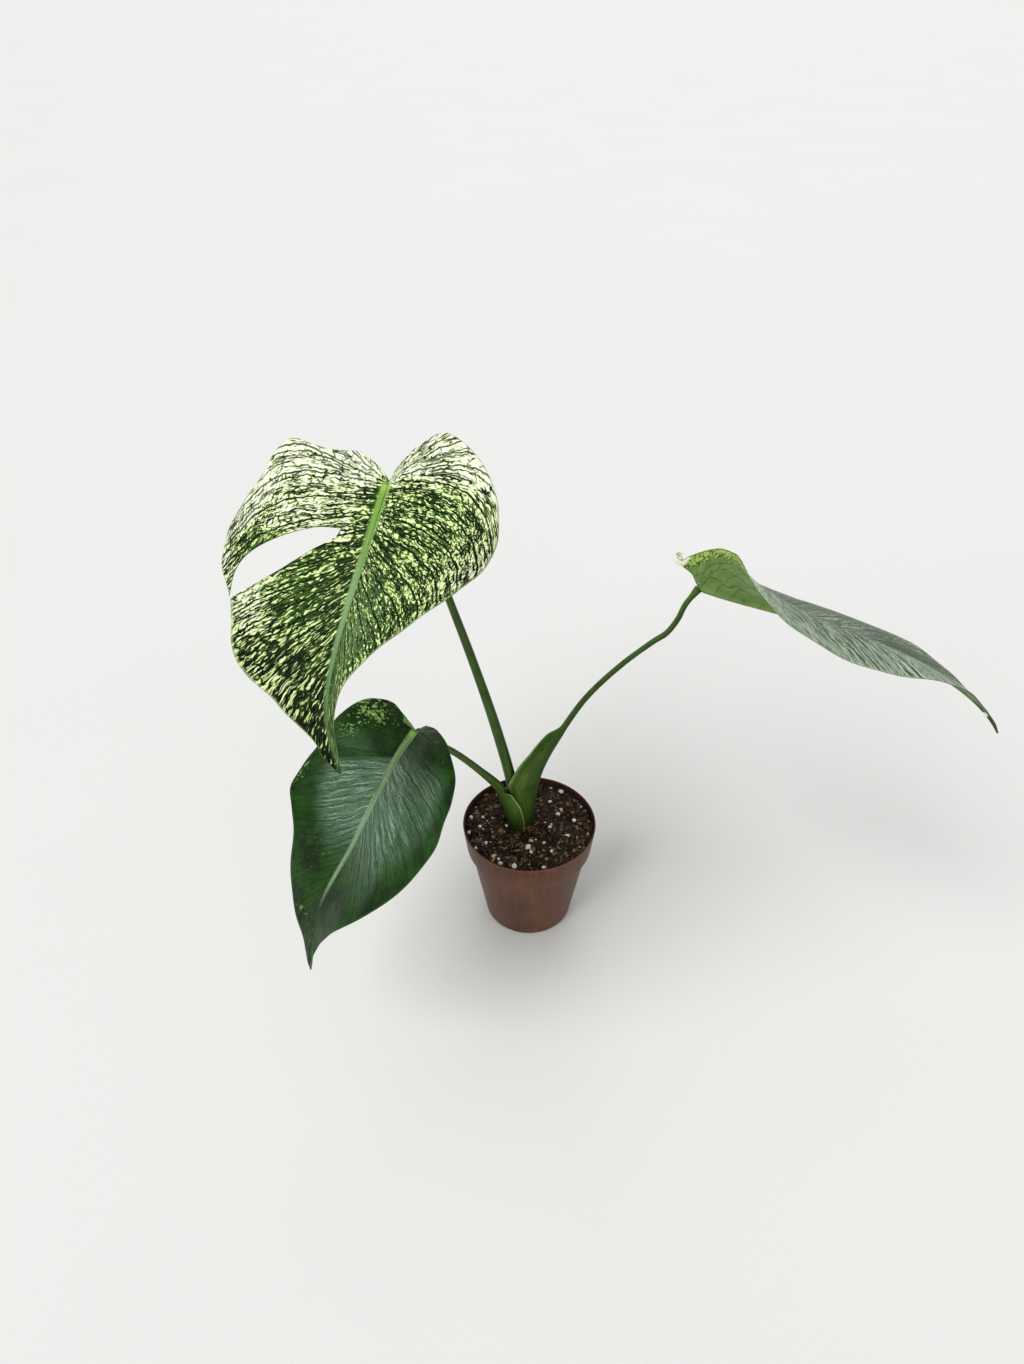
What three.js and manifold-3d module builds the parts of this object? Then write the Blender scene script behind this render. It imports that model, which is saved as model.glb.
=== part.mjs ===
// Potted aroid: three large heart-shaped leaves on sheathed stalks, in a round nursery pot of soil.
// Millimetres, +Z up, origin at the middle of the pot's underside. -Y is the front.
import * as THREE from 'three';
import { mergeVertices } from 'three/addons/utils/BufferGeometryUtils.js';
import Module from 'manifold-3d';

const wasm = await Module();
wasm.setup();

// Space left between pieces that touch
const TOUCH_GAP = 0.3;

// Pot
const RIM_RADIUS = 52.5;
const RIM_ROUNDING = 0.8;
const POT_HEIGHT = 95;
const POT_WALL = 1.3;
const COLLAR_HEIGHT = 22.5;
const COLLAR_FOOT_RADIUS = 49.7;
const COLLAR_SLOPE = 3;
const BODY_TOP_RADIUS = 46.5;
const BASE_RADIUS = 35;
const BASE_ROUNDING = 3;
const FLOOR_THICKNESS = 1.8;
const POT_SIDES = 40;
const DRAIN_HOLES = 6;
const DRAIN_RADIUS = 3.5;
const DRAIN_CIRCLE = 25;

// Stem
const STEM_CENTRE = [-6, 4.5];
const STEM_TOP_Z = 91.2;
const STEM_TOP_RADIUS = 9.6;
const STEM_SHOULDER_Z = 85;
const STEM_FOOT_Z = 58;
const STEM_FOOT_RADIUS = 5.5;
const STEM_FOOT_TIP = 3.3;
const STEM_SIDES = 20;

// Soil
const SOIL_LEVEL = 90.6;
const SOIL_RELIEF = 0.5;
const SOIL_DIP = 1.2;
const SOIL_DIP_RADIUS = 17;
const SOIL_CLEARANCE = 0.4;
const SOIL_SIDES = 40;
const SOIL_RINGS = 6;

// Leaf blades
const BLADE_THICKNESS = 0.7;
const MIDRIB_DEPTH = 1.9;
const MIDRIB_HALF_WIDTH = 3.2;
const MIDRIB_THINNING = 0.75;
const MIDRIB_SAMPLES = 200;
const LOBE_REACH = 0.22;
const VEIN_COLUMNS = 28;
const VEIN_SHARES = [0, 0.035, 0.1, 0.2, 0.29, 0.4, 0.52, 0.64, 0.76, 0.88, 1];
const VEIN_CROWDING = 1.9;
const VEIN_SWEEP = 2;
const NOTCH_SWEEP = 0.6;
const LOBE_KNOTS = 3;
const QUILT_DEPTH = 0.55;
const QUILT_START = 25;
const EDGE_WAVE = 1.3;
const SLIT_REACH_UP = 3;
const SLIT_REACH_DOWN = 2.5;

// Leaf stalks
const STALK_FOOT_Z = STEM_TOP_Z + TOUCH_GAP;
const STALK_START_Z = STALK_FOOT_Z - 2;
const STALK_ARC_STEPS = 6;
const STALK_BEND_DEPTH = 12;
const SHEATH_FADE = 0.2;
const SHEATH_WALL = 1.2;

// Blades: Bezier midrib from the stalk to the tip, the way the face looks, and roll in degrees. Each half
// has its fold and its curl (degrees, and degrees in 100 mm) from lobe to tip, and its outline in the
// flat leaf from the basal notch to the tip: [distance from the midrib, distance along it].
const BLADES = [
  {
    name: 'leaf_blade_1',
    midrib: [[-92, 15, 381], [-124, -64, 306], [-138, -102, 276], [-121, -106, 284],
      [-119, -112, 254], [-122, -101, 239]],
    face: [-0.2, -0.75, 0.63],
    roll: [-18, -22, -28, -11],
    edgeWaves: 5,
    halves: [
      {
        side: 1,
        fold: [-16, 0, -6, -27, -46],
        curl: [-39, -18, -11, -16, -21],
        outline: [[26, -18], [48, -15], [74, -14], [88, 10], [99, 40], [99, 72], [81, 98],
          [63, 127], [33, 145], [13, 162], [8, 176]],
        // A split that opens between two side veins
        slit: {
          knot: 5.75,
          start: 0.29,
          upper: [[23, 34], [42, 36.5], [65, 48], [80, 62], [84, 76], [80.5, 91.6]],
          lower: [[23, 34], [27, 42], [40, 52.5], [58, 70.5], [79.4, 92.6]],
        },
      },
      {
        side: -1,
        fold: [-31, -18, -25, -47, -52],
        curl: [61, 66, 55, 24, -9],
        outline: [[22, -24], [42, -32], [67, -20], [87, 4], [97, 33], [94, 63], [82, 96],
          [60, 126], [35, 153], [15, 174], [5, 185]],
      },
    ],
  },
  {
    name: 'leaf_blade_2',
    midrib: [[-79, -40, 222], [-119, -78, 186], [-114, -107, 158], [-141, -107, 151],
      [-151, -108, 126], [-155, -129, 79]],
    face: [-0.35, -0.65, 0.68],
    roll: [-28, -26, -19, -27],
    edgeWaves: 4,
    halves: [
      {
        side: 1,
        fold: [-9, -3, -4, -5, 1],
        curl: [4, 3, -6, -17, -22],
        outline: [[16, 0], [36, -7], [59, 0], [76, 17], [81, 41], [82, 68], [72, 97], [53, 126],
          [30, 152], [13, 172], [6, 184]],
      },
      {
        side: -1,
        fold: [-32, -25, -20, -22, -21],
        curl: [46, 47, 46, 37, 26],
        outline: [[12, -7], [33, -8], [57, -2], [75, 15], [82, 39], [82, 64], [68, 91], [46, 119],
          [26, 147], [11, 169], [6, 182]],
      },
    ],
  },
  {
    name: 'leaf_blade_3',
    midrib: [[109, -6, 317], [138, -11, 306], [185, -24, 306], [232, -40, 294], [278, -60, 284],
      [300, -72, 248]],
    face: [0.1, 0.25, 0.96],
    roll: [10, -5, 3, 0],
    edgeWaves: 4,
    halves: [
      {
        side: 1,
        fold: [-59, -44, -21, -20, -20],
        curl: [34, 45, 58, 63, 52],
        notchSweep: 2.6,
        outline: [[15, -27], [24, -19], [45, -11], [65, 1], [89, 24], [93, 57], [80, 98], [57, 136],
          [32, 168], [13, 191], [5, 206]],
      },
      {
        side: -1,
        fold: [-22, -8, -2, -4, -12],
        curl: [40, 25, 35, 40, 40],
        outline: [[12, -3], [34, -5], [60, 0], [80, 17], [87, 40], [85, 70], [76, 103], [57, 138],
          [30, 168], [10, 189], [4, 205]],
      },
    ],
  },
];

// Stalks: points on the centre line up to the blade, half-widths along it, and the sheath round its
// foot: the ways that it opens at its foot and its top, how far it goes up, its half-depths and
// half-widths, and its turns to both edges.
const STALKS = [
  {
    name: 'leaf_stalk_1',
    points: [[-9, 5.5, STALK_START_Z], [-12, 6, 116], [-16, 6.8, 142], [-27.5, 10.2, 191],
      [-41.6, 13.7, 242], [-55.8, 17, 289], [-70, 21, 334], [-83.5, 24.5, 362]],
    widths: [4.2, 4.2, 4.1, 3.8, 3.4, 3.1, 2.8, 2.6, 2.5, 2.4],
    openings: [[-1, 0.3, 0], [-1, 0.3, 0]],
    sheath: null,
    bendsUnderBlade: true,
    steps: 26,
  },
  {
    name: 'leaf_stalk_2',
    points: [[-13, 1, STALK_START_Z], [-13.2, 0.8, 97], [-15, -0.5, 107], [-18, -2, 119],
      [-23, -4.5, 135.5], [-39, -15, 165], [-55, -25, 190], [-66, -32, 204]],
    widths: [4.2, 4.2, 4.0, 3.4, 2.8, 2.5, 2.4, 2.4, 2.4],
    openings: [[0.97, 0.2, 0.1], [0.9, 0.35, 0.1]],
    sheath: { length: 48, depths: [7.5, 8, 8, 6.4, 3.8], widths: [8.3, 8.4, 7.4, 5.5, 3.6], turns: [128, 128] },
    bendsUnderBlade: true,
    steps: 24,
  },
  {
    name: 'leaf_stalk_3',
    points: [[0, 5, STALK_START_Z], [0, 5.3, 107], [2, 5, 124.5], [5.5, 4.5, 144], [12, 3.7, 163],
      [25.3, 1.9, 192.5], [40.5, -0.1, 222], [63, -3.2, 252.5], [83, -5.8, 274], [90.5, -6.8, 281],
      [97, -7.7, 293], [101, -7.9, 305]],
    widths: [4.6, 4.4, 4.2, 3.9, 3.2, 2.4, 2.2, 2.1, 2.0, 1.9, 2.0, 1.9, 1.9],
    openings: [[-1, -0.08, 0.2], [-0.3, 1, 0]],
    sheath: {
      length: 112,
      depths: [9, 9, 11.4, 13.8, 11, 8.2, 6.5, 4.8, 3],
      widths: [7, 7.3, 9.2, 6.8, 5.4, 3.2],
      turns: [112, 138],
    },
    bendsUnderBlade: false,
    steps: 34,
  },
];

// Grains in the soil: [x, y, half-length]
const GRAIN_FLATNESS = [1, 0.75, 0.7];
const GRAIN_TURN = 1.7;
const GRAIN_RISE = 0.15;
const GRAINS = [[26.7, 39, 2.4], [17.2, 26, 1.8], [26, 17, 2], [23.3, 13, 2], [36, 5.5, 1.9],
  [16.4, -2.2, 1.7], [30.3, -12, 1.6], [1.2, -16.3, 1.9], [-1.3, -23.7, 2.8], [1, -29, 1.6],
  [11.3, -18.4, 1.5], [-18, 1, 1.6], [-46.5, 7.8, 2.2], [-47.2, -7.6, 1.9], [-37, 9, 1.5],
  [-39, -2, 1.6], [-34, -18.4, 1.8], [-42, -24.5, 1.6], [-27.5, -33.5, 2.4], [-24, -36, 1.6],
  [-22.5, -41, 2.2], [-12, -43.5, 2.8], [10.6, -44.4, 1.7], [17, -28, 1.6]];

const POT_PLASTIC = { color: 0x6b4a3c, roughness: 0.45, metalness: 0 };
const PEAT = { color: 0x3a2a20, roughness: 0.95, metalness: 0 };
const STEM_SKIN = { color: 0x4d5a32, roughness: 0.7, metalness: 0 };
const STALK_SKIN = { color: 0x3f6a2a, roughness: 0.4, metalness: 0 };
const BLADE_SKINS = [
  { color: 0x9dbb74, roughness: 0.42, metalness: 0 },
  { color: 0x1f4a2c, roughness: 0.35, metalness: 0 },
  { color: 0x56804f, roughness: 0.4, metalness: 0 },
];

// Small helpers

function vector(array) {
  return new THREE.Vector3(...array);
}

function clamp01(value) {
  return Math.min(Math.max(value, 0), 1);
}

// A number or a point at w of 0..1 on the Bezier curve that a list of them controls
function bezier(controls, w) {
  let level = controls.slice();
  const blend = (a, b) => (Array.isArray(a) ? a.map((value, k) => blend(value, b[k])) : a + (b - a) * w);
  while (level.length > 1) {
    level = level.slice(1).map((next, i) => blend(level[i], next));
  }
  return level[0];
}

// Straight-line reading of a list of numbers over 0..1
function along(list, w) {
  const place = clamp01(w) * (list.length - 1);
  const i = Math.min(Math.floor(place), list.length - 2);
  return list[i] + (list[i + 1] - list[i]) * (place - i);
}

// Smooth curve through points; knot runs from 0 to the number of points less one
function throughPoints(points, knot) {
  const last = points.length - 1;
  const i = Math.min(Math.floor(knot), last - 1);
  const u = knot - i;
  const reflect = (a, b) => a.map((value, k) => 2 * value - b[k]);
  const p1 = points[i];
  const p2 = points[i + 1];
  const p0 = i > 0 ? points[i - 1] : reflect(p1, p2);
  const p3 = i + 2 <= last ? points[i + 2] : reflect(p2, p1);
  return p1.map((_, k) => 0.5 * (2 * p1[k] + (p2[k] - p0[k]) * u
    + (2 * p0[k] - 5 * p1[k] + 4 * p2[k] - p3[k]) * u * u
    + (3 * p1[k] - p0[k] - 3 * p2[k] + p3[k]) * u * u * u));
}

// Indexed geometry from points and triangles
function geometryOf(points, triangles) {
  const geometry = new THREE.BufferGeometry();
  geometry.setAttribute('position', new THREE.Float32BufferAttribute(points.flat(), 3));
  geometry.setIndex(triangles.flat());
  return geometry;
}

function toSolid(geometry) {
  const bare = geometry.clone();
  bare.deleteAttribute('normal');
  bare.deleteAttribute('uv');
  const merged = mergeVertices(bare, 1e-4);
  const mesh = new wasm.Mesh({
    numProp: 3,
    vertProperties: new Float32Array(merged.attributes.position.array),
    triVerts: new Uint32Array(merged.index.array),
  });
  return new wasm.Manifold(mesh);
}

function fromSolid(solid) {
  const mesh = solid.getMesh();
  const geometry = new THREE.BufferGeometry();
  geometry.setAttribute('position', new THREE.BufferAttribute(mesh.vertProperties, 3));
  geometry.setIndex(new THREE.BufferAttribute(mesh.triVerts, 1));
  return geometry;
}

// The biggest piece of a solid, without the slivers that a cut may leave
function largest(solid) {
  return solid.decompose().sort((a, b) => b.volume() - a.volume())[0];
}

// Round body about Z from a half-profile of [radius, height] that starts and ends on the axis
function turned(profile, sides) {
  const outline = profile.map(([radius, height]) => new THREE.Vector2(radius, height));
  const geometry = new THREE.LatheGeometry(outline, sides);
  geometry.rotateX(Math.PI / 2);
  return geometry;
}

// Pot

const COLLAR_FOOT_Z = POT_HEIGHT - COLLAR_HEIGHT;
const BODY_TOP_Z = COLLAR_FOOT_Z - COLLAR_SLOPE;

// Inside of the pot from the rim down to the floor, as [radius, height]
const INSIDE = [
  [RIM_RADIUS - POT_WALL, POT_HEIGHT],
  [COLLAR_FOOT_RADIUS - POT_WALL, COLLAR_FOOT_Z + POT_WALL],
  [BODY_TOP_RADIUS - POT_WALL, BODY_TOP_Z],
  [BASE_RADIUS - POT_WALL, FLOOR_THICKNESS + BASE_ROUNDING],
  [BASE_RADIUS - POT_WALL - BASE_ROUNDING, FLOOR_THICKNESS],
];

function potSolid() {
  const profile = [
    [0, 0],
    [BASE_RADIUS - BASE_ROUNDING, 0],
    [BASE_RADIUS - 0.3 * BASE_ROUNDING, 0.3 * BASE_ROUNDING],
    [BASE_RADIUS, BASE_ROUNDING],
    [BODY_TOP_RADIUS, BODY_TOP_Z],
    [COLLAR_FOOT_RADIUS, COLLAR_FOOT_Z + RIM_ROUNDING],
    [RIM_RADIUS, POT_HEIGHT - RIM_ROUNDING],
    [RIM_RADIUS - 0.5 * RIM_ROUNDING, POT_HEIGHT],
    ...INSIDE,
    [0, FLOOR_THICKNESS],
  ];
  let solid = toSolid(turned(profile, POT_SIDES));
  for (let i = 0; i < DRAIN_HOLES; i += 1) {
    const angle = (2 * Math.PI * (i + 0.5)) / DRAIN_HOLES;
    const drill = new THREE.CylinderGeometry(DRAIN_RADIUS, DRAIN_RADIUS, 4 * FLOOR_THICKNESS, 10);
    drill.rotateX(Math.PI / 2);
    drill.translate(DRAIN_CIRCLE * Math.cos(angle), DRAIN_CIRCLE * Math.sin(angle), 0);
    solid = solid.subtract(toSolid(drill));
  }
  return solid;
}

// Stem: a short stub that tapers down into the soil

function stemSolid(grow) {
  const topZ = STEM_TOP_Z + (grow > 0 ? STALK_START_Z : 0);
  const profile = [
    [0, STEM_FOOT_Z - grow],
    [STEM_FOOT_TIP + grow, STEM_FOOT_Z - grow],
    [STEM_FOOT_RADIUS + grow, STEM_FOOT_Z + STEM_FOOT_TIP],
    [STEM_TOP_RADIUS + grow, STEM_SHOULDER_Z],
    [STEM_TOP_RADIUS + grow, topZ],
    [0, topZ],
  ];
  const geometry = turned(profile, STEM_SIDES);
  geometry.translate(STEM_CENTRE[0], STEM_CENTRE[1], 0);
  return toSolid(geometry);
}

// Soil: fills the pot round the stem, with a lumpy top that dips at the plant and grains sunk into it

function soilHeight(x, y) {
  const lumps = Math.sin(0.16 * x + 1.1) * Math.cos(0.14 * y - 0.4) + Math.sin(0.12 * x + 0.19 * y);
  const away = Math.hypot(x - STEM_CENTRE[0], y - STEM_CENTRE[1]);
  return SOIL_LEVEL + SOIL_RELIEF * lumps - SOIL_DIP * Math.exp(-((away / SOIL_DIP_RADIUS) ** 2));
}

function soilSolid() {
  const inset = TOUCH_GAP + SOIL_CLEARANCE;
  const [rim, collarFoot, ...lower] = INSIDE;
  const rise = (SOIL_LEVEL - collarFoot[1]) / (rim[1] - collarFoot[1]);
  const topRadius = collarFoot[0] + (rim[0] - collarFoot[0]) * rise - inset;
  const rings = [];
  for (let k = 1; k <= SOIL_RINGS; k += 1) {
    rings.push({ radius: (topRadius * k) / SOIL_RINGS, heightAt: soilHeight });
  }
  for (const [radius, height] of [collarFoot, ...lower]) {
    rings.push({ radius: radius - inset, heightAt: () => height + TOUCH_GAP });
  }

  const points = [[0, 0, soilHeight(0, 0)]];
  for (const { radius, heightAt } of rings) {
    for (let i = 0; i < SOIL_SIDES; i += 1) {
      const angle = (2 * Math.PI * i) / SOIL_SIDES;
      const x = radius * Math.cos(angle);
      const y = radius * Math.sin(angle);
      points.push([x, y, heightAt(x, y)]);
    }
  }
  const bottom = points.length;
  points.push([0, 0, FLOOR_THICKNESS + TOUCH_GAP]);

  const triangles = [];
  const at = (ring, i) => 1 + ring * SOIL_SIDES + (i % SOIL_SIDES);
  const lastRing = rings.length - 1;
  for (let i = 0; i < SOIL_SIDES; i += 1) {
    triangles.push([0, at(0, i), at(0, i + 1)]);
    for (let ring = 0; ring < lastRing; ring += 1) {
      triangles.push([at(ring, i), at(ring + 1, i), at(ring + 1, i + 1)]);
      triangles.push([at(ring, i), at(ring + 1, i + 1), at(ring, i + 1)]);
    }
    triangles.push([at(lastRing, i), bottom, at(lastRing, i + 1)]);
  }

  let solid = toSolid(geometryOf(points, triangles)).subtract(stemSolid(TOUCH_GAP));
  GRAINS.forEach(([x, y, size], i) => {
    const grain = new THREE.IcosahedronGeometry(size, 0);
    grain.scale(...GRAIN_FLATNESS);
    grain.rotateZ(GRAIN_TURN * i);
    grain.translate(x, y, soilHeight(x, y) + GRAIN_RISE * size);
    solid = solid.add(toSolid(grain));
  });
  return solid;
}

// Leaf blade

// The midrib's length, and where even steps of length lie on its curve
function measureMidrib(blade) {
  const samples = [];
  for (let i = 0; i <= MIDRIB_SAMPLES; i += 1) {
    samples.push(vector(bezier(blade.midrib, i / MIDRIB_SAMPLES)));
  }
  const lengths = [0];
  for (let i = 1; i <= MIDRIB_SAMPLES; i += 1) {
    lengths.push(lengths[i - 1] + samples[i].distanceTo(samples[i - 1]));
  }
  const total = lengths[MIDRIB_SAMPLES];
  const places = [0];
  let next = 1;
  for (let i = 1; i <= MIDRIB_SAMPLES; i += 1) {
    const target = (total * i) / MIDRIB_SAMPLES;
    while (next < MIDRIB_SAMPLES && lengths[next] < target) {
      next += 1;
    }
    const part = (target - lengths[next - 1]) / (lengths[next] - lengths[next - 1]);
    places.push((next - 1 + part) / MIDRIB_SAMPLES);
  }
  return { ...blade, length: total, places };
}

// Midrib point at a distance along the leaf, the directions across it and up from it, and the share
// of the way from the lobes to the tip
function bladeFrame(blade, distance) {
  const reach = Math.min(Math.max(distance, 0), blade.length);
  const place = along(blade.places, reach / blade.length);
  const steps = blade.midrib.slice(1).map((p, i) => p.map((value, k) => value - blade.midrib[i][k]));
  const tangent = vector(bezier(steps, place)).normalize();
  const centre = vector(bezier(blade.midrib, place)).addScaledVector(tangent, Math.min(distance, 0));
  const flatSide = tangent.clone().cross(vector(blade.face)).normalize();
  const flatUp = flatSide.clone().cross(tangent);
  const share = clamp01((distance / blade.length + LOBE_REACH) / (1 + LOBE_REACH));
  const roll = THREE.MathUtils.degToRad(bezier(blade.roll, share));
  const side = flatSide.clone().multiplyScalar(Math.cos(roll)).addScaledVector(flatUp, Math.sin(roll));
  const up = flatUp.clone().multiplyScalar(Math.cos(roll)).addScaledVector(flatSide, -Math.sin(roll));
  return { centre, side, up, share };
}

// Each half bends away from the midrib as an arc: it leaves at the fold angle and turns by the curl
function bladePoint(blade, half, flat, lift) {
  const [x, distance] = flat;
  const { centre, side, up, share } = bladeFrame(blade, distance);
  const fold = THREE.MathUtils.degToRad(bezier(half.fold, share));
  const curl = THREE.MathUtils.degToRad(bezier(half.curl, share)) / 100;
  const across = (Math.sin(fold + curl * x) - Math.sin(fold)) / curl;
  const drop = (Math.cos(fold) - Math.cos(fold + curl * x)) / curl;
  return centre.addScaledVector(side, half.side * across).addScaledVector(up, lift - drop);
}

// Flat point at a share of the way along the side vein that ends at a knot of the outline. The veins
// of the lobe all start at the stalk, and the others further and further along the midrib.
function veinPoint(blade, half, knot, share) {
  const outline = [...half.outline, [0, blade.length]];
  const last = outline.length - 1;
  const edge = throughPoints(outline, knot);
  const start = blade.length * clamp01((knot - LOBE_KNOTS) / (last - LOBE_KNOTS)) ** VEIN_CROWDING;
  const notchSweep = half.notchSweep ?? NOTCH_SWEEP;
  const sweep = notchSweep + (VEIN_SWEEP - notchSweep) * clamp01(knot / (LOBE_KNOTS + 1));
  return [edge[0] * share, start + (edge[1] - start) * share ** sweep];
}

// The slit moves a vein point to its upper or lower edge, and the veins beside it by less and less
function opened(blade, half, flat, knot, share, isUpper) {
  const { slit } = half;
  if (share <= slit.start) {
    return flat;
  }
  const edge = isUpper ? slit.upper : slit.lower;
  const onEdge = throughPoints(edge, ((share - slit.start) / (1 - slit.start)) * (edge.length - 1));
  const closed = veinPoint(blade, half, slit.knot, share);
  const apart = isUpper ? (slit.knot - knot) / SLIT_REACH_UP : (knot - slit.knot) / SLIT_REACH_DOWN;
  return flat.map((value, k) => value + clamp01(1 - apart) * (onEdge[k] - closed[k]));
}

// Quilting between the side veins, and a wave that grows towards the edge
function bladeLift(blade, half, flat, knot, share) {
  const last = half.outline.length;
  const swell = Math.sin(Math.PI * Math.min(1.15 * share, 1)) * Math.min(flat[0] / QUILT_START, 1);
  const quilt = -0.5 * QUILT_DEPTH * swell * Math.cos((Math.PI * VEIN_COLUMNS * knot) / last);
  const wave = Math.sin((2 * Math.PI * blade.edgeWaves * knot) / last + 2 * half.side);
  return quilt + EDGE_WAVE * wave * share ** 3 * Math.sin((Math.PI * knot) / last);
}

// Side veins of a half from the basal notch to the tip, each a column of corners from midrib to edge.
// The vein at the slit comes twice, and gap is the place of the first of the two.
function halfColumns(blade, half) {
  const last = half.outline.length;
  const knots = [];
  for (let j = 0; j <= VEIN_COLUMNS; j += 1) {
    knots.push((last * j) / VEIN_COLUMNS);
  }
  let gap = -1;
  if (half.slit) {
    gap = Math.round((half.slit.knot * VEIN_COLUMNS) / last);
    knots.splice(gap, 1, half.slit.knot, half.slit.knot);
  }
  const columns = knots.map((knot, j) => VEIN_SHARES.map((share) => {
    const closed = veinPoint(blade, half, knot, share);
    const flat = half.slit ? opened(blade, half, closed, knot, share, j <= gap) : closed;
    return { flat, point: bladePoint(blade, half, flat, bladeLift(blade, half, flat, knot, share)) };
  }));
  return { columns, gap };
}

// Middle surface of a blade: corners shared between columns and halves, and triangles
function bladeSurface(blade) {
  const corners = [];
  const numbers = new Map();
  const triangles = [];
  const numberOf = (corner) => {
    const key = corner.point.toArray().map((value) => value.toFixed(3)).join();
    if (!numbers.has(key)) {
      numbers.set(key, corners.length);
      corners.push(corner);
    }
    return numbers.get(key);
  };
  for (const half of blade.halves) {
    const { columns, gap } = halfColumns(blade, half);
    const grid = columns.map((column) => column.map(numberOf));
    for (let j = 0; j + 1 < grid.length; j += 1) {
      for (let i = 0; j !== gap && i + 1 < VEIN_SHARES.length; i += 1) {
        const [a, b, c, d] = [grid[j][i], grid[j][i + 1], grid[j + 1][i + 1], grid[j + 1][i]];
        for (const face of [[a, b, c], [a, c, d]]) {
          if (new Set(face).size === 3) {
            triangles.push(half.side > 0 ? face : face.reverse());
          }
        }
      }
    }
  }
  return { corners, triangles };
}

// Both faces lie half a thickness from the middle surface, with triangles alike and a wall round the
// edge, and the midrib stands out of the underside
function bladeSolid(blade) {
  const { corners, triangles } = bladeSurface(blade);
  const normals = corners.map(() => new THREE.Vector3());
  for (const [a, b, c] of triangles) {
    const first = corners[b].point.clone().sub(corners[a].point);
    const second = corners[c].point.clone().sub(corners[a].point);
    const normal = first.cross(second);
    [a, b, c].forEach((corner) => normals[corner].add(normal));
  }
  normals.forEach((normal) => normal.normalize());

  const count = corners.length;
  const top = corners.map(({ point }, i) => point.clone().addScaledVector(normals[i], BLADE_THICKNESS / 2));
  const under = corners.map(({ point, flat: [x, distance] }, i) => {
    const taper = 1 - MIDRIB_THINNING * clamp01(distance / blade.length);
    const crown = Math.max(0, 1 - (x / (MIDRIB_HALF_WIDTH * taper)) ** 2);
    const rib = distance < -0.01 ? 0 : MIDRIB_DEPTH * taper * crown;
    return point.clone().addScaledVector(normals[i], -BLADE_THICKNESS / 2 - rib);
  });

  const faces = [];
  const borders = new Map();
  for (const [a, b, c] of triangles) {
    faces.push([a, b, c], [c + count, b + count, a + count]);
    for (const [from, to] of [[a, b], [b, c], [c, a]]) {
      if (!borders.delete(`${to},${from}`)) {
        borders.set(`${from},${to}`, [from, to]);
      }
    }
  }
  for (const [from, to] of borders.values()) {
    faces.push([to, from, from + count], [to, from + count, to + count]);
  }
  return toSolid(geometryOf([...top, ...under].map((p) => p.toArray()), faces));
}

// Leaf stalk: an oval rod that opens into a horseshoe-shaped sheath towards the stem

// The line ends a touch under the blade, square to it, or along the last stretch where it doesn't bend
function stalkLine(stalk, blade) {
  const { centre, up } = bladeFrame(blade, 0);
  const foot = BLADE_THICKNESS / 2 + MIDRIB_DEPTH + TOUCH_GAP;
  const depths = stalk.bendsUnderBlade ? [STALK_BEND_DEPTH, foot] : [foot];
  const ends = depths.map((depth) => centre.clone().addScaledVector(up, -depth));
  return new THREE.CatmullRomCurve3([...stalk.points.map(vector), ...ends], false, 'centripetal');
}

// Section at a distance up the stalk, as [across, towards the opening]: the outer side, then the
// inner side back. With a growth it is the space that the stalk and the inside of its sheath take up.
function stalkSection(stalk, distance, half, grow) {
  const { sheath } = stalk;
  const open = sheath ? clamp01((sheath.length - distance) / (SHEATH_FADE * sheath.length)) : 0;
  const climb = sheath ? distance / sheath.length : 0;
  const depth = sheath ? along(sheath.depths, climb) : half;
  const width = sheath ? along(sheath.widths, climb) : half;
  const [firstTurn, lastTurn] = (sheath ? sheath.turns : [90, 90]).map(THREE.MathUtils.degToRad);
  const wingAt = (angle, wall) => [
    (width - wall) * Math.sin(angle), depth - half - (depth - wall) * Math.cos(angle),
  ];
  const [firstEdge, lastEdge] = [wingAt(-firstTurn, 0), wingAt(lastTurn, 0)];
  const ring = [];
  for (let k = 0; k < 2 * STALK_ARC_STEPS; k += 1) {
    const outer = k <= STALK_ARC_STEPS;
    const turn = outer ? (2 * k) / STALK_ARC_STEPS - 1 : 3 - (2 * k) / STALK_ARC_STEPS;
    const rodTurn = (Math.PI / 2) * turn;
    const rod = [half * Math.sin(rodTurn), (outer ? -half : half) * Math.cos(rodTurn)];
    const angle = turn * (turn < 0 ? firstTurn : lastTurn);
    const wall = outer ? 0 : SHEATH_WALL + half * Math.cos(angle / 2) ** 4;
    const across = firstEdge.map((value, i) => value + ((turn + 1) / 2) * (lastEdge[i] - value));
    const wing = grow > 0 && !outer ? across : wingAt(angle, wall);
    const [u, v] = rod.map((value, i) => value + open * (wing[i] - value));
    const stretch = 1 + grow / Math.hypot(u, v);
    ring.push([u * stretch, v * stretch]);
  }
  return ring;
}

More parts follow.
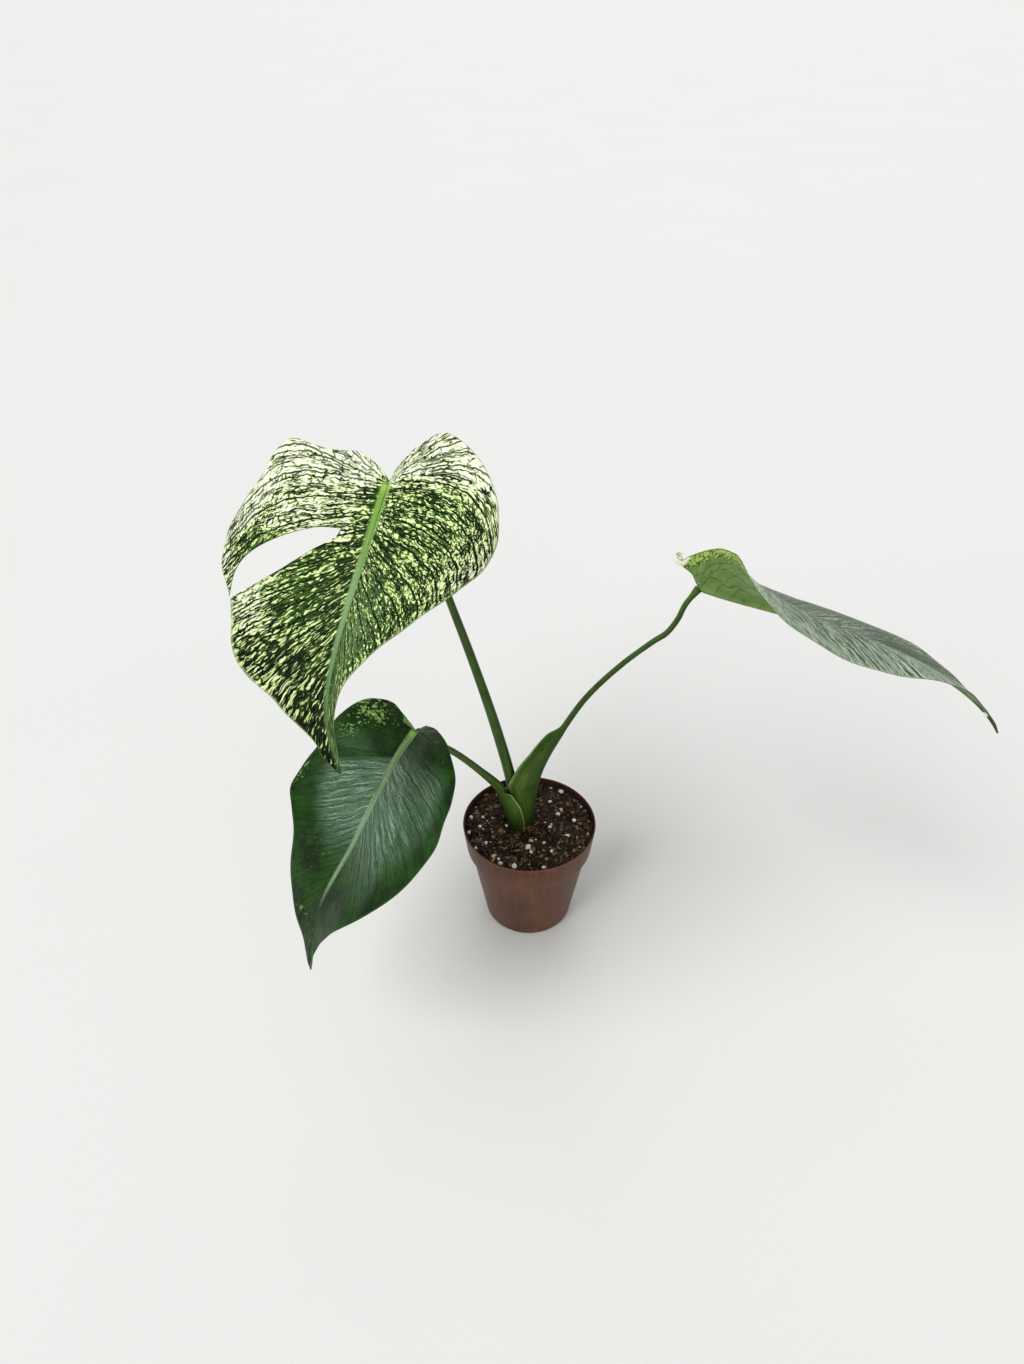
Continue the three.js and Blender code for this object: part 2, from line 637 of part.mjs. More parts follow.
function stalkSolid(stalk, blade, grow) {
  const line = stalkLine(stalk, blade);
  const total = line.getLength();
  const [footOpening, topOpening] = stalk.openings.map(vector);
  const reach = stalk.sheath ? stalk.sheath.length : total;
  const points = [];
  for (let j = 0; j <= stalk.steps; j += 1) {
    const share = j / stalk.steps;
    const centre = line.getPointAt(share);
    const tangent = line.getTangentAt(share);
    const opening = footOpening.clone().lerp(topOpening, clamp01((share * total) / reach) ** 2);
    const inward = opening.clone().addScaledVector(tangent, -opening.dot(tangent)).normalize();
    const side = tangent.clone().cross(inward);
    for (const [u, v] of stalkSection(stalk, share * total, along(stalk.widths, share), grow)) {
      points.push(centre.clone().addScaledVector(side, u).addScaledVector(inward, v).toArray());
    }
  }

  const round = 2 * STALK_ARC_STEPS;
  const triangles = [];
  const at = (j, k) => j * round + (k % round);
  for (let j = 0; j < stalk.steps; j += 1) {
    for (let k = 0; k < round; k += 1) {
      triangles.push([at(j, k), at(j + 1, k), at(j + 1, k + 1)]);
      triangles.push([at(j, k), at(j + 1, k + 1), at(j, k + 1)]);
    }
  }
  // The end caps join the outer side to the inner side, so a horseshoe end stays flat
  for (const j of [0, stalk.steps]) {
    for (let k = 0; k < STALK_ARC_STEPS; k += 1) {
      const [a, b, c, d] = [at(j, k), at(j, k + 1), at(j, round - k - 1), at(j, round - k)];
      for (const face of [[a, b, c], [a, c, d]]) {
        if (new Set(face).size === 3) {
          triangles.push(j > 0 ? face.reverse() : face);
        }
      }
    }
  }

  // The foot is cut level, to stand on the stem
  const below = new THREE.BoxGeometry(RIM_RADIUS, RIM_RADIUS, RIM_RADIUS);
  below.translate(STEM_CENTRE[0], STEM_CENTRE[1], STALK_FOOT_Z - RIM_RADIUS / 2);
  return toSolid(geometryOf(points, triangles)).subtract(toSolid(below));
}

// Assembly

const group = new THREE.Group();

function addPart(name, solid, material) {
  const mesh = new THREE.Mesh(fromSolid(solid), new THREE.MeshStandardMaterial(material));
  mesh.name = name;
  group.add(mesh);
}

addPart('pot', potSolid(), POT_PLASTIC);
addPart('soil', soilSolid(), PEAT);
addPart('stem', stemSolid(0), STEM_SKIN);

const blades = BLADES.map(measureMidrib);
blades.forEach((blade, i) => addPart(blade.name, bladeSolid(blade), BLADE_SKINS[i]));

// The first stalk rises inside the third one's sheath, and both stand in the second one's sheath
const stalkOf = (i, grow) => stalkSolid(STALKS[i], blades[i], grow);
const innerSpace = stalkOf(0, TOUCH_GAP);
const middleSpace = stalkOf(2, TOUCH_GAP);
addPart(STALKS[0].name, stalkOf(0, 0), STALK_SKIN);
addPart(STALKS[1].name, largest(stalkOf(1, 0).subtract(middleSpace).subtract(innerSpace)), STALK_SKIN);
addPart(STALKS[2].name, largest(stalkOf(2, 0).subtract(innerSpace)), STALK_SKIN);

export default group;
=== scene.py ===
"""Potted aroid: three large heart-shaped leaves on sheathed stalks, in a nursery pot of peat and perlite.

Shapes are worked out in millimetres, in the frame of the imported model, and put into meshes in metres.
"""
import math
from functools import partialmethod

import bpy
import numpy as np
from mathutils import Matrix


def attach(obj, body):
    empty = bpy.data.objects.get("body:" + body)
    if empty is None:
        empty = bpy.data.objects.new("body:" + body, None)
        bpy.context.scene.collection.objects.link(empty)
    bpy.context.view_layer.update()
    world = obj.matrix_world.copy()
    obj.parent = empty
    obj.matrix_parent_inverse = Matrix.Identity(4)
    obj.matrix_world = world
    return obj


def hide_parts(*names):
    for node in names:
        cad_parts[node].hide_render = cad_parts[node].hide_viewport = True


bl_info = {
    "name": "Potted aroid",
    "version": (1, 0, 0),
    "blender": (4, 5, 0),
    "location": "View3D > Sidebar > Plant",
    "description": "Builds a potted aroid with speckled leaves around its packed frame",
    "category": "Object",
}

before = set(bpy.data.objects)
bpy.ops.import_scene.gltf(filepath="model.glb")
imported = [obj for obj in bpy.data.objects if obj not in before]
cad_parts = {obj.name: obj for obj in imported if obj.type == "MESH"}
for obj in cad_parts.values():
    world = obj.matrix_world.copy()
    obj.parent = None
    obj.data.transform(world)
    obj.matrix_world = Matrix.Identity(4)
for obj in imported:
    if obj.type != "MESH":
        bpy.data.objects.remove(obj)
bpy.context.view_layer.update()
MM = 0.001
UP = np.array([0, 0, 1.0])

# Pot and soil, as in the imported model
RIM_RADIUS = 52.5
POT_HEIGHT = 95.0
POT_WALL = 1.3
COLLAR_FOOT_RADIUS = 49.7
COLLAR_FOOT_Z = 72.5
BODY_TOP_RADIUS = 46.5
BODY_TOP_Z = 69.5
BASE_RADIUS = 35.0
BASE_ROUNDING = 3.0
BASE_TUCK = 0.4
SHOULDER_ROUNDING = 1.6
COLLAR_ROUNDING = 1.2
RIM_ROUNDING = 0.5
FLOOR_THICKNESS = 1.8
DRAIN_HOLES = 6
DRAIN_RADIUS = 3.5
DRAIN_CIRCLE = 25.0
SOIL_LEVEL = 90.6
SOIL_RELIEF = 0.5
SOIL_DIP = 1.2
SOIL_DIP_RADIUS = 17.0
STEM_CENTRE = np.array([-6.0, 4.5])
STEM_TOP_Z = 91.2
STEM_RADIUS = 9.6
STEM_FOOT_Z = 58.0
STEM_FOOT_RADIUS = 5.5

# Finer pot: the turn past which its edges stay sharp
SHARP_EDGE = math.radians(35)

# Finer soil: its gap to the pot's wall and floor, how far its top spreads towards the wall, its crumbs,
# folds and hole round the stem in height, and its grid
SOIL_INSET = 0.7
SOIL_FLOOR_GAP = 0.3
SOIL_TOP_REACH = 0.35
CRUMB_RELIEF = 1.5
CRUMB_NOISE = {"size": 9.0, "seed": 7, "octaves": 5}
FOLD_RELIEF = 0.8
FOLD_NOISE = {"size": 5.0, "seed": 31, "octaves": 4}
STEM_HOLE = 5.0
SOIL_RINGS = 150
SOIL_SIDES = 260

# Loose bits on the soil: how far inside the rim they stay, the tilt of lumps, how far shreds bend, lift at
# an end and lie over the soil, the large grains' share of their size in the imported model, and the seed
LITTER_INSET = 2.2
LUMP_TILT = 0.7
SHRED_BEND = 1.6
SHRED_LIFT = 0.315
SHRED_RISE = 0.3
GRAIN_SHARE = 0.95
SOIL_SEED = 11

# Leaf blades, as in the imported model
BLADE_THICKNESS = 0.7
MIDRIB_DEPTH = 1.9
MIDRIB_HALF_WIDTH = 3.2
MIDRIB_THINNING = 0.75
LOBE_REACH = 0.22
RAY_CROWDING = 1.9
RAY_SWEEP = 2.0
NOTCH_SWEEP = 0.6
LOBE_KNOTS = 3
QUILT_DEPTH = 0.55
QUILT_START = 25.0
EDGE_WAVE = 1.3
EDGE_THINNING = 0.5
SLIT_REACH_UP = 3.0
SLIT_REACH_DOWN = 2.5

# Finer blades: the midrib's low crown on top, the width of the grooves on veins and minor veins as a share
# of their gap, the minor quilting's share, the edge's ripple as a share of the wave and of its length, the
# number at which the right half's veins start so that its streaks differ, the grids, and how far a rolled
# tip's spiral closes for each radian and its strand tapers
MIDRIB_CROWN = 0.35
VEIN_GROOVE = 0.17
MINOR_GROOVE = 0.2
MINOR_QUILT = 0.16
EDGE_RIPPLE = 0.3
EDGE_RIPPLE_PACE = 2.7
RIGHT_HALF_COUNT = 40
MIDRIB_STEPS = 401
BLADE_COLUMNS = 196
BLADE_ROWS = 62
CURL_STEPS = 60
CURL_CLOSING = 0.08
CURL_TAPER = 0.6
CURL_SIDES = 16

# Side veins: gap along the leaf, how much steeper each next one is, how far and at what width they all
# bend towards the tip, angle between the veins of the lobes, how far they waver in long and short waves,
# the number of lanes in a vein gap with the gap's widths between which that number takes over, the pace
# of the streaks along a vein, and the vein loops of the underside
VEIN_GAP = 10.0
VEIN_LEAN = 0.0125
VEIN_BEND = 60.0
VEIN_BEND_WIDTH = 104.0
VEIN_FAN = math.radians(14)
VEIN_WAVER = (3.2, 1.1)
LANES = [(1.5, 0.0, 0.0), (3.1, 2.0, 4.0), (6.2, 4.5, 8.5), (12.4, 9.0, 17.0)]
STREAK_PACE = 0.21
LOOPS = 4.5

# Veins of the pattern: how many for each side vein, and the distances between which their ink fades out
MAIN_VEINS = (1.0, 0.3, 0.85)
SIDE_VEINS = (2.0, 0.26, 0.75)
FINE_VEINS = (5.0, 0.25, 0.8)

# Slope and offset that give the streak height past which a share of the skin is cream
CREAM_LIMIT = (-0.32, 0.705)

# Midrib and outlines are points in millimetres, rolls, folds and curls are degrees along the leaf, and a
# rib is its half-width at its foot and at its end, with that end's share of the length. Side 1 is the half
# on the left when the tip points down.
BLADES = [
    {
        "name": "leaf_blade_1", "slot": "speckled_leaf", "edge_waves": 5, "rib": (5.0, 1.5, 0.97),
        "midrib": [(-92, 15, 381), (-124, -64, 306), (-138, -102, 276), (-121, -106, 284),
                   (-119, -112, 254), (-122, -101, 239)],
        "face": (-0.2, -0.75, 0.63), "roll": [-18, -22, -28, -11],
        "halves": [
            {"side": 1, "fold": [-16, 0, -6, -27, -46], "curl": [-39, -18, -11, -16, -21],
             "outline": [(26, -18), (48, -15), (74, -14), (88, 10), (99, 40), (99, 72), (81, 98), (63, 127),
                         (33, 145), (13, 162), (8, 176)],
             "slit": {"knot": 5.75, "start": 0.29,
                      "upper": [(23, 34), (42, 36.5), (65, 48), (80, 62), (84, 76), (80.5, 91.6)],
                      "lower": [(23, 34), (27, 42), (40, 52.5), (58, 70.5), (79.4, 92.6)]}},
            {"side": -1, "fold": [-31, -18, -25, -47, -52], "curl": [61, 66, 55, 24, -9],
             "outline": [(22, -24), (42, -32), (67, -20), (87, 4), (97, 33), (94, 63), (82, 96), (60, 126),
                         (35, 153), (15, 174), (5, 185)]},
        ],
    },
    {
        "name": "leaf_blade_2", "slot": "dark_leaf", "edge_waves": 4, "rib": (5.2, 2.0, 0.7),
        "midrib": [(-79, -40, 222), (-119, -78, 186), (-114, -107, 158), (-141, -107, 151),
                   (-151, -108, 126), (-155, -129, 79)],
        "face": (-0.35, -0.65, 0.68), "roll": [-28, -26, -19, -27],
        "halves": [
            {"side": 1, "fold": [-9, -3, -4, -5, 1], "curl": [4, 3, -6, -17, -22],
             "outline": [(16, 0), (36, -7), (59, 0), (76, 17), (81, 41), (82, 68), (72, 97), (53, 126),
                         (30, 152), (13, 172), (6, 184)]},
            {"side": -1, "fold": [-32, -25, -20, -22, -21], "curl": [46, 47, 46, 37, 26],
             "outline": [(12, -7), (33, -8), (57, -2), (75, 15), (82, 39), (82, 64), (68, 91), (46, 119),
                         (26, 147), (11, 169), (6, 182)]},
        ],
    },
    {
        "name": "leaf_blade_3", "slot": "pale_backed_leaf", "edge_waves": 4, "rib": (3.2, 1.2, 0.86),
        "midrib": [(109, -6, 317), (138, -11, 306), (185, -24, 306), (232, -40, 294), (278, -60, 284),
                   (300, -72, 248)],
        "face": (0.1, 0.25, 0.96), "roll": [10, -5, 3, 0],
        "halves": [
            {"side": 1, "fold": [-59, -44, -21, -20, -20], "curl": [34, 45, 58, 63, 52],
             "outline": [(15, -27), (24, -19), (45, -11), (65, 1), (89, 24), (93, 57), (80, 98), (57, 136),
                         (32, 168), (13, 191), (5, 206)],
             "notch_sweep": 2.6,
             "rolled_tip": {"place": (14.3, -18.5), "run": 3.5, "radius": 3.7, "turn": 560, "half_width": 2.4,
                            "kept": 0.3}},
            {"side": -1, "fold": [-22, -8, -2, -4, -12], "curl": [40, 25, 35, 40, 40],
             "outline": [(12, -3), (34, -5), (60, 0), (80, 17), (87, 40), (85, 70), (76, 103), (57, 138),
                         (30, 168), (10, 189), (4, 205)]},
        ],
    },
]

# Leaf stalks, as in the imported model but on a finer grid
STALK_START_Z = 89.5
STALK_BEND_DEPTH = 12.0
STALK_STEPS = 220
STALK_ARC_STEPS = 28
STALK_SEAT_GAP = 0.4
STALK_FLARE = 0.45
STALK_FLARE_LENGTH = 9.0
SHEATH_FADE = 0.2
SHEATH_WALL = 1.2
SHEATH_THINNING = 0.65
NO_SHEATH = {"length": 1e-6, "depths": [1, 1], "widths": [1, 1], "turns": (90, 90)}

# Points and half-widths go from foot to blade, and openings are the ways the sheath faces at foot and top
STALKS = [
    {
        "name": "leaf_stalk_1", "bends_under_blade": True, "openings": [(-1, 0.3, 0), (-1, 0.3, 0)],
        "points": [(-9, 5.5, STALK_START_Z), (-12, 6, 116), (-16, 6.8, 142), (-27.5, 10.2, 191),
                   (-41.6, 13.7, 242), (-55.8, 17, 289), (-70, 21, 334), (-83.5, 24.5, 362)],
        "widths": [4.2, 4.2, 4.1, 3.8, 3.4, 3.1, 2.8, 2.6, 2.5, 2.4],
        "sheath": NO_SHEATH,
    },
    {
        "name": "leaf_stalk_2", "bends_under_blade": True, "openings": [(0.97, 0.2, 0.1), (0.9, 0.35, 0.1)],
        "points": [(-13, 1, STALK_START_Z), (-13.2, 0.8, 97), (-15, -0.5, 107), (-18, -2, 119),
                   (-23, -4.5, 135.5), (-39, -15, 165), (-55, -25, 190), (-66, -32, 204)],
        "widths": [4.2, 4.2, 4.0, 3.4, 2.8, 2.5, 2.4, 2.4, 2.4],
        "sheath": {"length": 48, "depths": [7.5, 8, 8, 6.4, 3.8], "widths": [8.3, 8.4, 7.4, 5.5, 3.6],
                   "turns": (128, 128)},
    },
    {
        "name": "leaf_stalk_3", "bends_under_blade": False, "openings": [(-1, -0.08, 0.2), (-0.3, 1, 0)],
        "points": [(0, 5, STALK_START_Z), (0, 5.3, 107), (2, 5, 124.5), (5.5, 4.5, 144), (12, 3.7, 163),
                   (25.3, 1.9, 192.5), (40.5, -0.1, 222), (63, -3.2, 252.5), (83, -5.8, 274),
                   (90.5, -6.8, 281), (97, -7.7, 293), (101, -7.9, 305)],
        "widths": [4.6, 4.4, 4.2, 3.9, 3.2, 2.4, 2.2, 2.1, 2.0, 1.9, 2.0, 1.9, 1.9],
        "sheath": {"length": 112, "depths": [9, 9, 11.4, 13.8, 11, 8.2, 6.5, 4.8, 3],
                   "widths": [7, 7.3, 9.2, 6.8, 5.4, 3.2], "turns": (112, 138)},
    },
]

# Larger grains in the soil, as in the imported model: x, y, half-length, and 1 where the grain is yellowish
GRAINS = [(26.7, 39, 2.4, 0), (17.2, 26, 1.8, 0), (26, 17, 2, 1), (23.3, 13, 2, 0), (36, 5.5, 1.9, 0),
          (16.4, -2.2, 1.7, 0), (30.3, -12, 1.6, 0), (1.2, -16.3, 1.9, 1), (-1.3, -23.7, 2.8, 0),
          (1, -29, 1.6, 0), (11.3, -18.4, 1.5, 0), (-18, 1, 1.6, 0), (-46.5, 7.8, 2.2, 0),
          (-47.2, -7.6, 1.9, 0), (-37, 9, 1.5, 0), (-39, -2, 1.6, 0), (-34, -18.4, 1.8, 0),
          (-42, -24.5, 1.6, 0), (-27.5, -33.5, 2.4, 1), (-24, -36, 1.6, 0), (-22.5, -41, 2.2, 0),
          (-12, -43.5, 2.8, 0), (10.6, -44.4, 1.7, 0), (17, -28, 1.6, 0)]

# Camera: focal length over the frame's long side, place, and how far it looks down
CAMERA_PLACE = (-0.0137, -0.5771, 0.6766)
CAMERA_DOWN = math.radians(37.46)
FOCAL_SHARE = 1025 / 1364
SENSOR = 36.0
FLOOR_REACH = 30.0


def screen(red, green, blue):
    """Linear colour of a screen colour of 0 to 255: the screen's curve is undone channel by channel."""
    channels = [((c / 255 + 0.055) / 1.055) ** 2.4 if c > 10 else c / 255 / 12.92 for c in (red, green, blue)]
    return (*channels, 1.0)


# Surfaces


def smooth(values, low, high):
    """Rises from 0 to 1 between low and high, as three squares less two cubes of the share."""
    share = np.clip((values - low) / (high - low), 0, 1)
    return share * share * (3 - 2 * share)


def bezier(controls, w):
    """Bezier curve: at each level neighbours blend by w, until one is left. Shape of w, then of a control."""
    level = [np.asarray(control, float) for control in controls]
    w = np.asarray(w, float)
    if level[0].ndim:
        w = w[..., None]
    while len(level) > 1:
        level = [a * (1 - w) + b * w for a, b in zip(level, level[1:])]
    return level[0] + 0 * w


def along(values, w):
    """Straight-line reading of a list over 0 to 1."""
    return np.interp(w, np.linspace(0, 1, len(values)), values)


def unit(vectors):
    """Each vector divided by its length."""
    return vectors / np.linalg.norm(vectors, axis=-1, keepdims=True)


def run_lengths(line):
    """Length of a polyline up to each of its points."""
    return np.concatenate([[0], np.cumsum(np.linalg.norm(np.diff(line, axis=0), axis=1))])


def neighbours(points, span):
    """The two points of each span of a line with one before and one after, and all the points with a
    mirrored neighbour at each end."""
    points = np.asarray(points, float)
    padded = np.vstack([2 * points[0] - points[1], points, 2 * points[-1] - points[-2]])
    return [padded[span + k] for k in range(4)], padded


def through_points(points, knot):
    """Uniform Catmull-Rom curve: in each span a cubic of the span's two points and their neighbours.
    knot runs from 0 to the number of points less one."""
    span = np.clip(np.floor(knot).astype(int), 0, len(points) - 2)
    u = (knot - span)[..., None]
    (p0, p1, p2, p3), _ = neighbours(points, span)
    return 0.5 * (2 * p1 + (p2 - p0) * u + (2 * p0 - 5 * p1 + 4 * p2 - p3) * u ** 2
                  + (3 * p1 - p0 - 3 * p2 + p3) * u ** 3)


def centripetal_line(points, count):
    """Centripetal Catmull-Rom curve at even steps of length: spans timed by the square root of their
    length, each a cubic of its ends and end slopes."""
    place = np.linspace(0, len(points) - 1, 40 * len(points))
    span = np.minimum(place.astype(int), len(points) - 2)
    w = (place - span)[:, None]
    (p0, p1, p2, p3), padded = neighbours(points, span)
    times = np.sqrt(np.linalg.norm(np.diff(padded, axis=0), axis=1))[:, None]
    t0, t1, t2 = (times[span + k] for k in range(3))
    slope_1 = ((p1 - p0) / t0 - (p2 - p0) / (t0 + t1) + (p2 - p1) / t1) * t1
    slope_2 = ((p2 - p1) / t1 - (p3 - p1) / (t1 + t2) + (p3 - p2) / t2) * t1
    line = (p1 + slope_1 * w + (-3 * p1 + 3 * p2 - 2 * slope_1 - slope_2) * w ** 2
            + (2 * p1 - 2 * p2 + slope_1 + slope_2) * w ** 3)
    lengths = run_lengths(line)
    even = np.linspace(0, lengths[-1], count)
    return np.stack([np.interp(even, lengths, line[:, k]) for k in range(3)], -1), even


def lattice_noise(points, size, seed):
    """Value noise of 0 to 1: random values at the corners of cubes of the size, blended smoothly."""
    place = np.asarray(points, float) / size
    corner = np.floor(place).astype(np.int64)
    part = place - corner
    part = part * part * (3 - 2 * part)
    total = np.zeros(place.shape[:-1])
    for step in np.ndindex(2, 2, 2):
        at = corner + np.array(step)
        code = (at[..., 0] * 374761393 + at[..., 1] * 668265263 + at[..., 2] * 2147483647 + seed * 974711)
        code = (code ^ (code >> 13)) * 1274126177 & 0x7FFFFFFF
        code = (code ^ (code >> 16)) & 0xFFFF
        weight = np.prod(np.where(np.array(step), part, 1 - part), axis=-1)
        total += weight * code / 0xFFFF
    return total


def fractal_noise(points, size, seed, octaves):
    """Sum of value noises about 0: each octave has half the size and half the height of the last."""
    total = 0
    for octave in range(octaves):
        total = total + (lattice_noise(points, size / 2 ** octave, seed + octave) - 0.5) / 2 ** octave
    return total


def grid_triangles(rows, columns, wrap):
    """Two triangles for each cell of a grid of corners numbered row by row; wrap joins the last column
    to the first."""
    last = columns if wrap else columns - 1
    i, j = np.meshgrid(np.arange(rows - 1), np.arange(last), indexing="ij")
    a = i * columns + j
    b = i * columns + (j + 1) % columns
    c = b + columns
    d = a + columns
    return np.stack([np.stack([a, b, c], -1), np.stack([a, c, d], -1)], -2).reshape(-1, 3)


def welded(points, triangles):
    """Corners at one place become one, and triangles that collapse go. Also gives the corners kept."""
    _, first, number = np.unique(np.round(points, 4), axis=0, return_index=True, return_inverse=True)
    triangles = number.reshape(-1)[triangles]
    a, b, c = triangles.T
    return points[first], triangles[(a != b) & (b != c) & (c != a)], first


def corner_normals(points, triangles):
    """Unit normals at the corners: the sum of the cross products of the triangles round each."""
    a, b, c = (points[triangles[:, k]] for k in range(3))
    cross = np.cross(b - a, c - a)
    normals = np.zeros_like(points)
    for k in range(3):
        np.add.at(normals, triangles[:, k], cross)
    return normals / np.maximum(np.linalg.norm(normals, axis=1, keepdims=True), 1e-12)


def border_edges(triangles):
    """Directed edges that only one triangle has."""
    edges = np.concatenate([triangles[:, [0, 1]], triangles[:, [1, 2]], triangles[:, [2, 0]]])
    _, first, count = np.unique(np.sort(edges, axis=1), axis=0, return_index=True, return_counts=True)
    return edges[first[count == 1]]


def joined_grids(grids):
    """Grids of corners that close on themselves, as one welded mesh of triangles, with the number of the
    grid that each corner comes from."""
    count, rows, columns = grids.shape[:3]
    numbers = rows * columns * np.arange(count)[:, None, None]
    triangles = grid_triangles(rows, columns, True) + numbers
    points, triangles, kept = welded(grids.reshape(-1, 3), triangles.reshape(-1, 3))
    return points, triangles, kept // (rows * columns)


def round_angles(sides):
    """Even angles of one turn, without the last one, which is the first again."""
    return np.linspace(0, 2 * np.pi, sides, endpoint=False)


def turned(profile, sides):
    """Grid of a surface of revolution: a profile of radius and height carried round Z."""
    radius, height = np.array(profile, float).T[..., None]
    angle = round_angles(sides)
    return np.stack([radius * np.cos(angle), radius * np.sin(angle), height + 0 * angle], -1)


def rounded(corners, steps=5):
    """Polyline whose corners become arcs: each (x, y, size) is cut at its size along both edges, and
    a quadratic Bezier curve with the corner as its control joins the cuts."""
    corners = np.asarray(corners, float)
    line = [corners[0, :2]]
    w = np.linspace(0, 1, steps)
    for before, corner, after in zip(corners, corners[1:], corners[2:]):
        ends = []
        for other in (before, after):
            edge = other[:2] - corner[:2]
            ends.append(corner[:2] + edge * min(corner[2] / np.linalg.norm(edge), 0.45))
        line.extend(bezier([ends[0], corner[:2], ends[1]], w))
    line.append(corners[-1, :2])
    return np.array(line)


def faced_out(points, triangles):
    """Triangles of a closed shape, turned round where the sum of a sixth of the triple product of each
    one's corners is a negative volume."""
    a, b, c = (points[triangles[:, k]] for k in range(3))
    return triangles[:, ::-1] if np.sum(a * np.cross(b, c)) < 0 else triangles


def linked(name, data):
    """Object of the data, linked to the scene."""
    thing = bpy.data.objects.new(name, data)
    bpy.context.scene.collection.objects.link(thing)
    return thing


def make_piece(name, shape, slot, nodes, finishes, face_finish=None, smooth_faces=True, **fields):
    """Mesh object of a shape's corners, in millimetres, and triangles, with fields of one or three numbers
    at each corner, that rides on the root body and stands for the nodes."""
    points, triangles = shape[0], faced_out(*shape[:2])
    mesh = bpy.data.meshes.new(name)
    mesh.vertices.add(len(points))
    mesh.vertices.foreach_set("co", (points * MM).astype(np.float32).ravel())
    mesh.loops.add(3 * len(triangles))
    mesh.loops.foreach_set("vertex_index", triangles.astype(np.int32).ravel())
    mesh.polygons.add(len(triangles))
    mesh.polygons.foreach_set("loop_start", np.arange(0, 3 * len(triangles), 3, dtype=np.int32))
    mesh.polygons.foreach_set("use_smooth", np.full(len(triangles), smooth_faces))
    if face_finish is not None:
        mesh.polygons.foreach_set("material_index", face_finish.astype(np.int32))
    for finish in finishes:
        mesh.materials.append(finish)
    for field, values in fields.items():
        values = np.asarray(values, np.float32)
        kind, key = ("FLOAT", "value") if values.ndim == 1 else ("FLOAT_VECTOR", "vector")
        mesh.attributes.new(field, kind, "POINT").data.foreach_set(key, values.ravel())
    mesh.update(calc_edges=True)
    piece = linked(name, mesh)
    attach(piece, "root")
    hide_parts(*nodes)
    return piece


# Finishes


class Value:
    """An output of a node in a finish. Arithmetic on it adds the nodes that work it out."""

    def __init__(self, finish, output):
        self.finish = finish
        self.output = output

    def maths(self, operation, *others):
        return self.finish.put("Math", dict(enumerate((self, *others))), operation=operation)

    __add__ = partialmethod(maths, "ADD")
    __sub__ = partialmethod(maths, "SUBTRACT")
    __mul__ = partialmethod(maths, "MULTIPLY")
    __truediv__ = partialmethod(maths, "DIVIDE")
    __abs__ = partialmethod(maths, "ABSOLUTE")
    highest = partialmethod(maths, "MAXIMUM")

    def band(self, low, high, start=0.0, end=1.0):
        """Goes from start to end as the value goes from low to high, smoothly."""
        ends = {"Value": self, "From Min": low, "From Max": high, "To Min": start, "To Max": end}
        return self.finish.put("MapRange", ends, interpolation_type="SMOOTHSTEP")

    def parts(self):
        """The three numbers of a vector."""
        return [self.finish.put("SeparateXYZ", {0: self}, k) for k in range(3)]

    def stretched(self, *scales):
        return self.finish.put("VectorMath", {0: self, 1: scales}, operation="MULTIPLY")

    def noise(self, scale, detail=2.0, roughness=0.5, dimensions="3D"):
        inputs = {"Vector": self, "Scale": scale, "Detail": detail, "Roughness": roughness}
        return self.finish.put("TexNoise", inputs, noise_dimensions=dimensions)

    def cell_edges(self, scale, dimensions="3D"):
        return self.finish.put("TexVoronoi", {"Vector": self, "Scale": scale}, feature="DISTANCE_TO_EDGE",
                               voronoi_dimensions=dimensions)


class Finish:
    """A procedural material. put() adds a node and gives its output, and the rest are its short forms."""

    def __init__(self, name, **shading):
        self.material = bpy.data.materials.new(name)
        self.material.use_nodes = True
        self.tree = self.material.node_tree
        self.shader = self.tree.nodes["Principled BSDF"]
        for key, value in shading.items():
            self.shader.inputs[key.replace("_", " ").title().replace("Ior", "IOR")].default_value = value

    def join(self, value, socket):
        if isinstance(value, Value):
            self.tree.links.new(value.output, socket)
        else:
            socket.default_value = value

    def put(self, kind, inputs, output=0, **settings):
        node = self.tree.nodes.new("ShaderNode" + kind)
        for key, value in settings.items():
            setattr(node, key, value)
        for key, value in inputs.items():
            self.join(value, node.inputs[key])
        return Value(self, node.outputs[output])

    def ramp(self, value, corners):
        """Straight runs between corners of a value and a result, both in millimetres."""
        total = corners[0][1] * MM
        for (low, start), (high, end) in zip(corners, corners[1:]):
            ends = {"Value": value, "From Min": low * MM, "From Max": high * MM, "To Max": (end - start) * MM}
            total = self.put("MapRange", ends) + total
        return total

    def blend(self, share, first, second):
        return self.put("Mix", {0: share, 2: first, 3: second}, 0, data_type="FLOAT")

    def coats(self, base, *coats):
        """A base colour and the coats over it, each a share of 0 to 1 and a colour."""
        for share, colour in coats:
            base = self.put("Mix", {0: share, 6: base, 7: colour}, 2, data_type="RGBA")
        return base

    def vector(self, x, y, z=0.0):
        return self.put("CombineXYZ", {0: x, 1: y, 2: z})

    def single(self, name):
        """The one number of a field of the mesh."""
        return self.put("Attribute", {}, 2, attribute_name=name)

    def field(self, name):
        """The three numbers of a field of the mesh."""
        return self.put("Attribute", {}, 1, attribute_name=name).parts()

    def place(self):
        return self.put("TexCoord", {}, 3)

    def done(self, colour, roughness, height, depth):
        """Joins colour, roughness and a bump of the height in the mesh's metres to the shader."""
        self.join(colour, self.shader.inputs["Base Color"])
        self.join(roughness, self.shader.inputs["Roughness"])
        bump = self.put("Bump", {"Strength": 1.0, "Distance": depth, "Height": height})
        self.join(bump, self.shader.inputs["Normal"])
        return self.material


